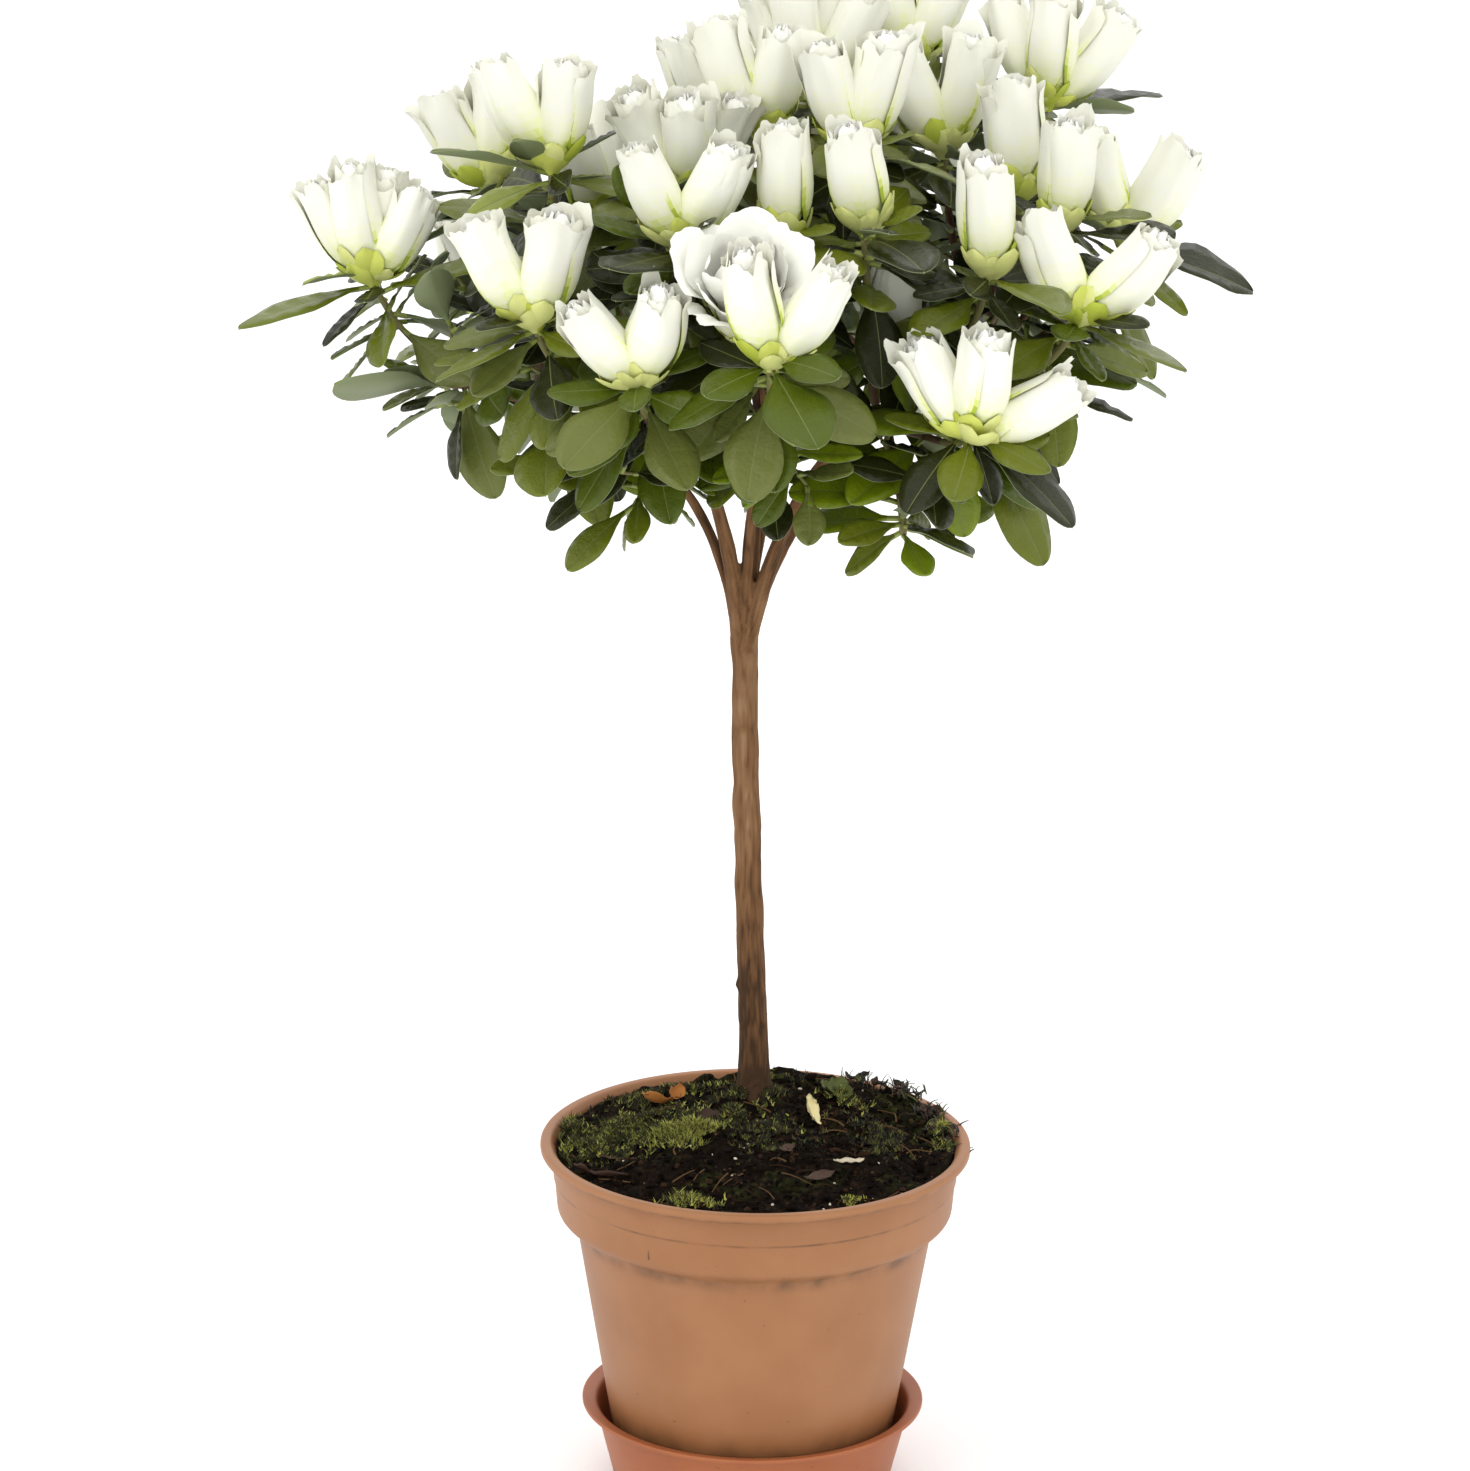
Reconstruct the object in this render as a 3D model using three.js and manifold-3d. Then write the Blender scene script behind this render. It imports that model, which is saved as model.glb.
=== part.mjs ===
// A standard azalea: a small shrub grown on one bare stem, with a low dome of dark leaves and
// white double flowers that are just opening, in a filled plastic pot that stands in a saucer.
// Millimetres, +Z up. The origin is on the ground under the middle of the saucer, and the front
// view looks along +Y, with +X to the right.
import * as THREE from "three";
import { mergeVertices } from "three/addons/utils/BufferGeometryUtils.js";
import Module from "manifold-3d";

const wasm = await Module();
wasm.setup();

const GAP = 0.3; // clearance between neighbouring solids
const SLIVER = 0.05; // corners that a join leaves closer than this are drawn together
const SAME = 1e-4; // corners closer than this are one corner
const TAU = 2 * Math.PI;
const GOLDEN_TURN = 137.5; // degrees from one leaf to the next round a shoot
const UP = new THREE.Vector3(0, 0, 1);
const RIGHT = new THREE.Vector3(1, 0, 0);
const AWAY = new THREE.Vector3(0, 1, 0);

// The plant's seed, and where the seeds of its parts begin.
const SEED = 20;
const SEEDS = { soil: 1, masses: 10, twigs: 100, twigsPerMass: 20 };

// The saucer and the pot, from the ground up. Radii are outside radii.
const SAUCER = {
  height: 28, floor: 1.8, wall: 1.3, baseRadius: 45.5, topRadius: 51.7, lipRadius: 56, lip: 1.4,
  foot: 1, flare: 1.2, lipDip: 1, lipRun: 0.9, throat: 1.6,
};
const POT = {
  height: 115, wall: 1.3, floor: 1.6, baseRadius: 43.5, bodyTop: 58.2, rimRadius: 70,
  rimInside: 66.6, lip: 3, collarTop: 66.2, collarBottom: 64.3, collarDepth: 23.5,
  shoulderDepth: 27.5, stepDepth: 12, step: 0.4, footInset: 2, footHeight: 1.6, rimEdge: 0.7,
};
const POT_Z = SAUCER.floor + GAP;
const RIM_Z = POT_Z + POT.height;
const POT_SIDES = 36;

// The soil fills the pot and is heaped round the foot of the trunk, which stands behind the middle.
const SOIL = {
  edgeDepth: 2, mound: 6.4, seatRadius: 11, seatProud: 0.1, rings: 5, sides: 30, roughness: 1.3,
};
const FOOT = new THREE.Vector3(-0.5, 20, RIM_Z + SOIL.mound);

// The trunk's stations: height over the soil, lean towards -X, radius and depth of the root lobes.
const TRUNK_SIDES = 12;
const ROOT_LOBES = 4;
const TRUNK = [
  { up: 0, lean: 0, radius: 6.9, lobes: 0.22 },
  { up: 2.5, lean: 0, radius: 5.9, lobes: 0.12 },
  { up: 8, lean: 0.1, radius: 5.1, lobes: 0.04 },
  { up: 20, lean: 0.3, radius: 4.8, lobes: 0 },
  { up: 42, lean: 1.2, radius: 4.6, lobes: 0 },
  { up: 75, lean: 2.6, radius: 4.5, lobes: 0 },
  { up: 112, lean: 3.9, radius: 4.35, lobes: 0 },
  { up: 150, lean: 4.6, radius: 4.3, lobes: 0 },
  { up: 163, lean: 4.9, radius: 4.7, lobes: 0 },
  { up: 171, lean: 5.1, radius: 5.5, lobes: 0.06 },
  { up: 176, lean: 5.2, radius: 5.1, lobes: 0.1 },
  { up: 179.5, lean: 5.2, radius: 3.4, lobes: 0.1 },
];

// A place in the crown is its turn about the crown's upright axis in degrees (0 is +X, 90 is away
// from the viewer), its distance out from the axis and its height over the ground.
const CROWN_AXIS = { x: -4, y: 20 };

// Each mass of foliage has one bough under it, which leaves the trunk at forkUp over the soil.
// Its flowering shoots are given where the front of the plant shows them, with the lean of each
// of their flowers to the right of upright, and a mass at the back has a fan of shoots instead.
const MASSES = [
  {
    name: "left", radius: 1.9, forkUp: 171, tip: { turn: 190, out: 60, up: 357 },
    reach: 0.18, rise: 0.84,
    shoots: [
      { turn: 182, out: 120, up: 399, leans: [-26, -8, 8, 22] },
      { turn: 198, out: 66, up: 439, leans: [-24, 2] },
      { turn: 152, out: 96, up: 419, leans: [-26, -6] },
    ],
  },
  {
    name: "front_left", radius: 2.9, forkUp: 173, tip: { turn: 236, out: 31, up: 348 },
    shoots: [
      { turn: 224, out: 93, up: 399, leans: [-24, 6] },
      { turn: 249, out: 96, up: 386, leans: [-30, 6] },
      { turn: 250, out: 64, up: 423, leans: [-18, 20] },
    ],
  },
  {
    name: "front", radius: 2.3, forkUp: 174, tip: { turn: 276, out: 30, up: 352 },
    shoots: [
      { turn: 273, out: 105, up: 397, leans: [-6, 26] },
      { turn: 270, out: 78, up: 400, leans: [-8], mouth: 20, tilt: 40 },
      { turn: 280, out: 56, up: 424, leans: [0] },
    ],
  },
  {
    name: "front_right", radius: 2.9, forkUp: 166, tip: { turn: 318, out: 36, up: 350 },
    shoots: [
      { turn: 305, out: 117, up: 373, leans: [-26, 6, 56] },
      { turn: 327, out: 119, up: 402, leans: [-16, 36] },
      { turn: 318, out: 97, up: 416, leans: [-4] },
      { turn: 300, out: 69, up: 428, leans: [-10] },
      { turn: 315, out: 58, up: 381, leans: [6] },
    ],
  },
  {
    name: "right", radius: 2.3, forkUp: 172, tip: { turn: 2, out: 46, up: 356 },
    shoots: [
      { turn: 355, out: 117, up: 415, leans: [-12, 26] },
      { turn: 20, out: 99, up: 450, leans: [-16, 4, 34] },
      { turn: 340, out: 101, up: 424, leans: [4] },
      { turn: 353, out: 84, up: 429, leans: [-6] },
      { turn: 14, out: 62, up: 438, leans: [-20, 8] },
    ],
  },
  {
    name: "top", radius: 2.6, forkUp: 176, tip: { turn: 340, out: 5, up: 374 },
    shoots: [
      { turn: 0, out: 2, up: 446, leans: [-16, 6] },
      { turn: 62, out: 38, up: 453, leans: [-24, -8, 8, 24] },
      { turn: 321, out: 40, up: 446, leans: [-12, 10] },
      { turn: 218, out: 24, up: 430, leans: [-26, -4, 18], mouth: 12 },
      { turn: 48, out: 74, up: 458, leans: [-6, 18] },
    ],
  },
  {
    name: "back_right", radius: 2.2, forkUp: 173, tip: { turn: 66, out: 40, up: 352 },
    fan: { heading: 66, top: 446 },
  },
  {
    name: "back_left", radius: 2.2, forkUp: 172, tip: { turn: 124, out: 40, up: 346 },
    fan: { heading: 124, top: 426 },
  },
];

// The fan of shoots of a mass at the back: their turn from the fan's heading, and distance out.
// Their heights follow a dome from the fan's top, which falls away with the distance squared, and
// each is a little off its place.
const FAN = [
  { off: -16, out: 118 },
  { off: 14, out: 113 },
  { off: -2, out: 76 },
  { off: 34, out: 56 },
];
const DOME = { fall: 0.0042, outSway: 2, upSway: 3 };
const FAN_LEANS = [[-20, 12], [-24, 0, 22], [-8, 20]];

const BOUGH = {
  sides: 8, steps: 7, rootOffset: 2.4, rootDrop: 9, tipRatio: 0.62, reach: 0.34, rise: 0.66,
};
const STEM = { sides: 5, steps: 4, startRatio: 0.9, tipRadius: 1.2, branchFrom: 0.12, branchTo: 0.44 };
const TWIG = { sides: 3, steps: 3, radius: 1.7, tipRadius: 1.4, rise: 0.4, reach: 0.86 };

// A leaf is broadest past its middle, and its upper side faces up and somewhat out of the crown.
// Each flowering shoot has a whorl of leaves under its flowers and a few side leaves below that,
// and a shoot far out carries a leafy side shoot under it.
const LEAF = {
  length: 30, lengthMore: 8, widthRatio: 0.54, broadest: 0.64, thickness: 1.4, thickest: 0.14,
  droop: 0.05, droopMore: 0.2, faceOut: 0.6, roll: 14, clear: 0.35, footing: 4, ridgeAfter: 1,
};
const WHORL = {
  leaves: 7, below: 3, spacing: 2.6, firstAngle: 78, lastAngle: 128, sway: 8, turnSway: 20,
  outerMore: 10,
};
const SIDE_LEAVES = { count: 3, from: 0.5, to: 0.86, angle: 70, minReach: 40 };
const SIDE_SHOOT = { minOut: 78, outRatio: 0.82, drop: 35, leaves: 6, sway: 12, from: 0.34 };
const SHIFTS = [0, 24, -24, 48]; // turns that a leaf tries before it is left out

// A flower that is just opening: a barrel of petals with a ragged mouth, slimmer by the crowding
// for each flower that it stands with. An open one has a mouth that is wider than its belly.
const BLOOM = {
  sides: 6, length: 33, lengthMore: 6, bellyAt: 0.42, bellyRadius: 11.4, crowding: 0.7,
  mouthRatio: 0.75, openBelly: 0.6, mouthDip: 0.9, ragged: 1, cup: 0.78, sunk: 1.2, splay: 15,
  depthSplay: 21, tilt: 12, sway: 5,
};

const LOOKS = {
  bark: { color: 0x7a5236, roughness: 0.85, metalness: 0 },
  foliage: { color: 0x37492b, roughness: 0.55, metalness: 0 },
  soil: { color: 0x2a211b, roughness: 1, metalness: 0 },
  pot: { color: 0xc4845c, roughness: 0.5, metalness: 0 },
  saucer: { color: 0xbf7350, roughness: 0.5, metalness: 0 },
};

// A small seeded random source, so that every run grows the same plant.
function randomSource(seed) {
  let state = (SEED * 7919 + seed * 104729) >>> 0;
  return () => {
    state = (Math.imul(state, 1664525) + 1013904223) >>> 0;
    return (state >>> 8) / 0x1000000;
  };
}

const { lerp, degToRad } = THREE.MathUtils;

function inCrown({ turn, out, up }) {
  const angle = degToRad(turn);
  return new THREE.Vector3(
    CROWN_AXIS.x + out * Math.cos(angle),
    CROWN_AXIS.y + out * Math.sin(angle),
    up,
  );
}

// A level direction out from the middle of the crown.
function outwardAt(place) {
  return new THREE.Vector3(place.x - CROWN_AXIS.x, place.y - CROWN_AXIS.y, 0).normalize();
}

// A number from -1 to 1.
const swayed = (random) => 2 * random() - 1;

// Two directions square to a third, so that first × second points along it.
function squareTo(direction, hint) {
  const first = hint.clone().addScaledVector(direction, -hint.dot(direction)).normalize();
  return [first, new THREE.Vector3().crossVectors(direction, first)];
}

// A direction that leans away from an axis by an angle, at a turn about it, both in degrees. At no
// turn it leans out from the middle of the crown.
function leaning(axis, place, turn, angle) {
  const [first, second] = squareTo(axis, outwardAt(place));
  const away = first
    .multiplyScalar(Math.cos(degToRad(turn)))
    .addScaledVector(second, Math.sin(degToRad(turn)));
  return away.multiplyScalar(Math.sin(degToRad(angle))).addScaledVector(axis, Math.cos(degToRad(angle)));
}

// A ring of points about a centre, counter-clockwise about first × second.
function ring(centre, first, second, sides, radiusAt, startAngle = 0) {
  return Array.from({ length: sides }, (_, j) => {
    const angle = startAngle + (TAU * j) / sides;
    return centre
      .clone()
      .addScaledVector(first, radiusAt(j, angle) * Math.cos(angle))
      .addScaledVector(second, radiusAt(j, angle) * Math.sin(angle));
  });
}

// A closed body from its corners and faces.
function body(points, faces) {
  const positions = points.flatMap((p) => p.toArray());
  return new THREE.BufferGeometry()
    .setAttribute("position", new THREE.Float32BufferAttribute(positions, 3))
    .setIndex(faces);
}

// A closed skin over rings of points, each ring counter-clockwise as seen from the next ring.
function skin(rings) {
  const sides = rings[0].length;
  const faces = [];
  for (let i = 0; i + 1 < rings.length; i++)
    for (let j = 0; j < sides; j++) {
      const a = i * sides + j;
      const b = i * sides + ((j + 1) % sides);
      faces.push(a, b, b + sides, a, b + sides, a + sides);
    }
  const last = (rings.length - 1) * sides;
  for (let j = 1; j + 1 < sides; j++) faces.push(0, j + 1, j, last, last + j, last + j + 1);
  return body(rings.flat(), faces);
}

// A tapering limb along a curve. radiusAt gives the radius for a share of the length, and turn
// sets where its first edge stands, so that a branch's flats aren't in line with its parent's.
function limb(curve, radiusAt, { sides, steps }, turn = 0) {
  const frames = curve.computeFrenetFrames(steps, false);
  const rings = frames.normals.map((normal, i) => {
    const share = i / steps;
    const centre = curve.getPointAt(share);
    return ring(centre, normal, frames.binormals[i], sides, () => radiusAt(share), turn);
  });
  return skin(rings);
}

// A point inside a limb, which runs straight from step to step, at a share of its length.
function pointIn({ curve, steps }, share) {
  const step = Math.min(Math.floor(share * steps), steps - 1);
  const next = curve.getPointAt((step + 1) / steps);
  return curve.getPointAt(step / steps).lerp(next, share * steps - step);
}

// A geometry as a solid that can be cut and joined, and back.
function solidOf(geometry) {
  const bare = geometry.clone();
  bare.deleteAttribute("normal");
  bare.deleteAttribute("uv");
  const merged = mergeVertices(bare, SAME);
  const mesh = new wasm.Mesh({
    numProp: 3,
    vertProperties: new Float32Array(merged.attributes.position.array),
    triVerts: new Uint32Array(merged.index.array),
  });
  return new wasm.Manifold(mesh);
}

function geometryOf(solid) {
  const { vertProperties, triVerts } = solid.getMesh();
  return new THREE.BufferGeometry()
    .setAttribute("position", new THREE.BufferAttribute(vertProperties, 3))
    .setIndex(new THREE.BufferAttribute(triVerts, 1));
}

// A piece keeps its box beside its solid, so that most pairs need no exact test.
function pieceOf(geometry) {
  geometry.computeBoundingBox();
  return { solid: solidOf(geometry), box: geometry.boundingBox };
}

const touches = (a, b) => a.box.intersectsBox(b.box) && !a.solid.intersect(b.solid).isEmpty();

// All solids joined two by two into one. It goes through 32-bit numbers before its bodies are told
// apart, so that a neck too thin for them is gone, and the largest body is kept, with no hollow.
function fused(solids) {
  let joined = solids;
  while (joined.length > 1) {
    const pairs = [];
    for (let i = 0; i < joined.length; i += 2)
      pairs.push(i + 1 < joined.length ? joined[i].add(joined[i + 1]) : joined[i]);
    joined = pairs;
  }
  const bodies = solidOf(geometryOf(joined[0].simplify(SLIVER))).decompose();
  return bodies.sort((a, b) => b.volume() - a.volume())[0];
}

// A profile of [radius, height] pairs turned about the Z axis.
function turned(profile) {
  const points = profile.map(([radius, height]) => new THREE.Vector2(radius, height));
  return new THREE.LatheGeometry(points, POT_SIDES).rotateX(Math.PI / 2);
}

function saucerGeometry() {
  const { height, floor, wall, baseRadius, topRadius, lipRadius, lip, foot } = SAUCER;
  return turned([
    [0, 0],
    [baseRadius - foot, 0],
    [baseRadius, foot],
    [topRadius, height - lip - SAUCER.flare],
    [lipRadius, height - lip],
    [lipRadius, height],
    [topRadius - wall + SAUCER.lipRun, height - SAUCER.lipDip],
    [topRadius - wall, height - lip - SAUCER.throat],
    [baseRadius - wall, floor],
    [0, floor],
  ]);
}

// The pot's inside radius at a height above its own underside: straight between its stations.
function potInside(height) {
  const stations = [
    [0, POT.baseRadius],
    [POT.height - POT.shoulderDepth, POT.bodyTop],
    [POT.height - POT.collarDepth, POT.collarBottom],
    [POT.height, POT.collarTop],
  ];
  const above = Math.max(1, stations.findIndex(([at]) => at >= height));
  const [[low, lowRadius], [high, highRadius]] = [stations[above - 1], stations[above]];
  return THREE.MathUtils.mapLinear(height, low, high, lowRadius, highRadius) - POT.wall;
}

function potGeometry() {
  const { height, floor, baseRadius, rimRadius, lip, step, rimEdge } = POT;
  const collarMiddle = (POT.collarTop + POT.collarBottom) / 2;
  const insideHeights = [height - lip, height - POT.collarDepth, height - POT.shoulderDepth, floor];
  return turned([
    [0, 0],
    [baseRadius - POT.footInset, 0],
    [baseRadius, POT.footHeight],
    [POT.bodyTop, height - POT.shoulderDepth],
    [POT.collarBottom, height - POT.collarDepth],
    [collarMiddle, height - POT.stepDepth - step],
    [collarMiddle + step, height - POT.stepDepth],
    [POT.collarTop, height - lip],
    [rimRadius, height - lip],
    [rimRadius, height - rimEdge],
    [rimRadius - rimEdge, height],
    [POT.rimInside, height],
    ...insideHeights.map((at) => [potInside(at), at]),
    [0, floor],
  ]).translate(0, 0, POT_Z);
}

// Rings up the pot's wall, then inwards to the flat seat of the trunk, rising in a soft mound.
function soilGeometry() {
  const random = randomSource(SEEDS.soil);
  const { sides, rings, seatRadius, edgeDepth, roughness } = SOIL;
  const ringAt = (centre, radius) => ring(centre, RIGHT, AWAY, sides, () => radius);
  const wallRing = (z) => ringAt(new THREE.Vector3(0, 0, z), potInside(z - POT_Z) - GAP);
  const bottom = POT_Z + POT.floor + GAP;
  const loops = [bottom, RIM_Z - POT.shoulderDepth, RIM_Z - POT.collarDepth].map(wallRing);
  const edge = wallRing(RIM_Z - edgeDepth);
  const seat = ringAt(FOOT, seatRadius);
  loops.push(edge);
  for (let k = 1; k < rings; k++) {
    const share = k / rings;
    const rise = THREE.MathUtils.smoothstep(share, 0, 1);
    loops.push(
      edge.map((p, j) => {
        const place = p.clone().lerp(seat[j], share);
        const height = lerp(p.z, FOOT.z, rise) + roughness * swayed(random);
        return place.setZ(Math.min(height, FOOT.z - SOIL.seatProud));
      }),
    );
  }
  loops.push(seat);
  return skin(loops);
}

// The trunk, or the same larger all round by grow, to cut what has to stay clear of it.
function trunkGeometry(grow = 0) {
  const rings = TRUNK.map(({ up, lean, radius, lobes }, i) => {
    const end = i === TRUNK.length - 1 ? grow : 0;
    const centre = new THREE.Vector3(FOOT.x - lean, FOOT.y, FOOT.z + GAP + up + end);
    const radiusAt = (_, angle) => radius * (1 + lobes * Math.cos(ROOT_LOBES * angle)) + grow;
    return ring(centre, RIGHT, AWAY, TRUNK_SIDES, radiusAt);
  });
  return skin(rings);
}

// A bough leaves the fork steeply and arches out to its tip. The left one keeps close to its
// neighbour at first, so it has a bend of its own.
function boughCurve(mass) {
  const { tip, forkUp, reach, rise } = { ...BOUGH, ...mass };
  const head = TRUNK[TRUNK.length - 1];
  const turn = degToRad(tip.turn);
  const root = new THREE.Vector3(
    FOOT.x - head.lean + BOUGH.rootOffset * Math.cos(turn),
    FOOT.y + BOUGH.rootOffset * Math.sin(turn),
    FOOT.z + forkUp - BOUGH.rootDrop,
  );
  const end = inCrown(tip);
  const bend = root.clone().lerp(end, reach).setZ(lerp(root.z, end.z, rise));
  return new THREE.QuadraticBezierCurve3(root, bend, end);
}

function boughGeometry(mass, grow = 0) {
  const radiusAt = (share) => mass.radius * lerp(1, BOUGH.tipRatio, share) + grow;
  return limb(boughCurve(mass), radiusAt, BOUGH);
}

// Boughs are cut clear of the trunk and of the boughs made before them, where they crowd the fork.
function boughSolids() {
  const cutters = [solidOf(trunkGeometry(GAP))];
  return MASSES.map((mass) => {
    let solid = solidOf(boughGeometry(mass));
    for (const cutter of cutters) solid = solid.subtract(cutter);
    cutters.push(solidOf(boughGeometry(mass, GAP)));
    return fused([solid]);
  });
}

// The flowering shoots of a mass. Flowers seen from the front fan out across the view, at a face
// of 270 degrees, and those of a fan at the back fan out as seen from outside the crown.
function shootsOf(mass, random) {
  if (mass.shoots) return mass.shoots.map((shoot) => ({ face: 270, ...shoot }));
  return FAN.map(({ off, out }) => ({
    turn: mass.fan.heading + off,
    out: out + DOME.outSway * swayed(random),
    up: mass.fan.top - DOME.fall * out * out + DOME.upSway * swayed(random),
    leans: FAN_LEANS[Math.floor(FAN_LEANS.length * random())],
    face: mass.fan.heading + off,
  }));
}

// A twig runs out low from its start and turns up towards the shoot that it ends in.
function twigCurve(start, end) {
  const bend = start.clone().lerp(end, TWIG.reach).setZ(lerp(start.z, end.z, TWIG.rise));
  return new THREE.QuadraticBezierCurve3(start, bend, end);
}

// The stem of a mass goes on from its bough's tip to its first shoot. The twigs of the other
// shoots branch from it, and each shoot far out has a side shoot with leaves alone.
function twigsOf(mass, random) {
  const bough = boughCurve(mass);
  const onward = bough.getTangent(1);
  const start = bough.getPoint(1).addScaledVector(onward, GAP);
  const shoots = shootsOf(mass, random);
  const [leader, ...others] = shoots;
  const end = inCrown(leader);
  const bend = start.clone().addScaledVector(onward, start.distanceTo(end) / 3);
  const turnUp = start.clone().lerp(end, TWIG.reach).setZ(lerp(start.z, end.z, TWIG.rise));
  const stem = new THREE.CubicBezierCurve3(start, bend, turnUp, end);
  const twigs = [{ curve: stem, steps: STEM.steps, shoot: leader }];
  others.forEach((shoot, i) => {
    const from = pointIn(twigs[0], lerp(STEM.branchFrom, STEM.branchTo, i / others.length));
    twigs.push({ curve: twigCurve(from, inCrown(shoot)), steps: TWIG.steps, shoot });
  });
  for (const twig of twigs.filter(({ shoot }) => shoot.out >= SIDE_SHOOT.minOut)) {
    const { shoot } = twig;
    const place = inCrown({
      turn: shoot.turn + SIDE_SHOOT.sway * swayed(random),
      out: shoot.out * SIDE_SHOOT.outRatio,
      up: shoot.up - SIDE_SHOOT.drop,
    });
    twigs.push({ curve: twigCurve(pointIn(twig, SIDE_SHOOT.from), place), steps: TWIG.steps });
  }
  return twigs;
}

function twigGeometry({ curve }, mass, index) {
  if (index) return limb(curve, (share) => lerp(TWIG.radius, TWIG.tipRadius, share), TWIG, index);
  const startRadius = mass.radius * BOUGH.tipRatio * STEM.startRatio;
  return limb(curve, (share) => lerp(startRadius, STEM.tipRadius, share), STEM);
}

// The flowers of a shoot stand side by side across its face, in front of each other by turns, and
// lean apart: their foots lean more than the flowers themselves.
function bloomsOf({ curve, shoot }, random) {
  if (!shoot) return [];
  const face = degToRad(shoot.face);
  const across = new THREE.Vector3(-Math.sin(face), Math.cos(face), 0);
  const outward = new THREE.Vector3(Math.cos(face), Math.sin(face), 0);
  const leaningBy = (lean, tilt) =>
    across
      .clone()
      .multiplyScalar(Math.sin(degToRad(lean)))
      .addScaledVector(outward, Math.cos(degToRad(lean)) * Math.sin(degToRad(tilt)))
      .addScaledVector(UP, Math.cos(degToRad(lean)) * Math.cos(degToRad(tilt)));
  const last = shoot.leans.length - 1;
  const crowded = BLOOM.bellyRadius - BLOOM.crowding * shoot.leans.length;
  const mouth = shoot.mouth ?? crowded * BLOOM.mouthRatio;
  return shoot.leans.map((lean, i) => {
    const outwards = BLOOM.tilt * Math.cos(degToRad(shoot.turn - shoot.face));
    const tilt = (shoot.tilt ?? outwards) + BLOOM.sway * swayed(random);
    const side = last ? (2 * i) / last - 1 : 0;
    const depth = last > 1 ? BLOOM.depthSplay * (i % 2 ? 1 : -1) : 0;
    return {
      root: curve.getPoint(1),
      foot: leaningBy(lean + BLOOM.splay * side, tilt + depth),
      direction: leaningBy(lean, tilt),
      mouth,
      belly: Math.max(crowded, mouth * BLOOM.openBelly),
      length: BLOOM.length + BLOOM.lengthMore * random(),
      spin: (360 / BLOOM.sides) * random(),
    };
  });
}

// One flower: a point sunk in the shoot's tip, a belly and a ragged mouth with a shallow cup in it.
function bloomGeometry({ root, foot, direction, mouth, belly, length, spin }, grow = 0) {
  const { sides, bellyAt, mouthDip, cup, sunk } = BLOOM;
  const [first, second] = squareTo(direction, RIGHT);
  const middle = root.clone().addScaledVector(foot, length * bellyAt);
  const ringAt = (radiusAt) =>
    ring(middle, first, second, sides, (j) => radiusAt(j) + grow, degToRad(spin));
  const mouthRing = ringAt((j) => mouth + BLOOM.ragged * (j % 2));
  mouthRing.forEach((p, j) => {
    p.addScaledVector(direction, length * ((j % 2 ? 1 : mouthDip) - bellyAt));
  });
  const apex = root.clone().addScaledVector(foot, -sunk);
  const inside = middle.clone().addScaledVector(direction, length * (cup - bellyAt) + grow);
  const bellyRing = ringAt(() => belly);
  const faces = bellyRing.flatMap((_, j) => {
    const [a, b] = [1 + j, 1 + ((j + 1) % sides)];
    return [0, b, a, a, b, b + sides, a, b + sides, a + sides, a + sides, b + sides, 2 * sides + 1];
  });
  return body([apex, ...bellyRing, ...mouthRing, inside], faces);
}

// The leaves of a twig: a whorl under its tip, whose lower leaves lean out and down more, and on
// a long flowering twig a few side leaves lower down. The first leaf is the longest, and points
// out of the crown.
function leavesOf(twig, random) {
  const { curve, shoot } = twig;
  const reach = curve.getLength();
  const firstTurn = WHORL.turnSway * swayed(random);
  const leafOn = (root, axis, index, angle) => {
    const outer = index === 0 ? WHORL.outerMore : 0;
    const length = LEAF.length + LEAF.lengthMore * random() + outer;
    const droop = LEAF.droop + LEAF.droopMore * random();
    const roll = LEAF.roll * swayed(random);
    return { root, axis, turn: firstTurn + index * GOLDEN_TURN, angle, length, droop, roll };
  };
  const leaves = [];
  const count = shoot ? WHORL.leaves : SIDE_SHOOT.leaves;
  const axis = curve.getTangent(1);
  for (let i = 0; i < count; i++) {
    const root = pointIn(twig, Math.max(0, 1 - (WHORL.below + i * WHORL.spacing) / reach));
    const angle = lerp(WHORL.firstAngle, WHORL.lastAngle, i / (count - 1));
    leaves.push(leafOn(root, axis, i, angle + WHORL.sway * swayed(random)));
  }
  if (!shoot || reach < SIDE_LEAVES.minReach) return leaves;
  for (let i = 0; i < SIDE_LEAVES.count; i++) {
    const share = lerp(SIDE_LEAVES.from, SIDE_LEAVES.to, i / SIDE_LEAVES.count);
    leaves.push(leafOn(pointIn(twig, share), curve.getTangent(share), i + 0.5, SIDE_LEAVES.angle));
  }
  return leaves;
}

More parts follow.
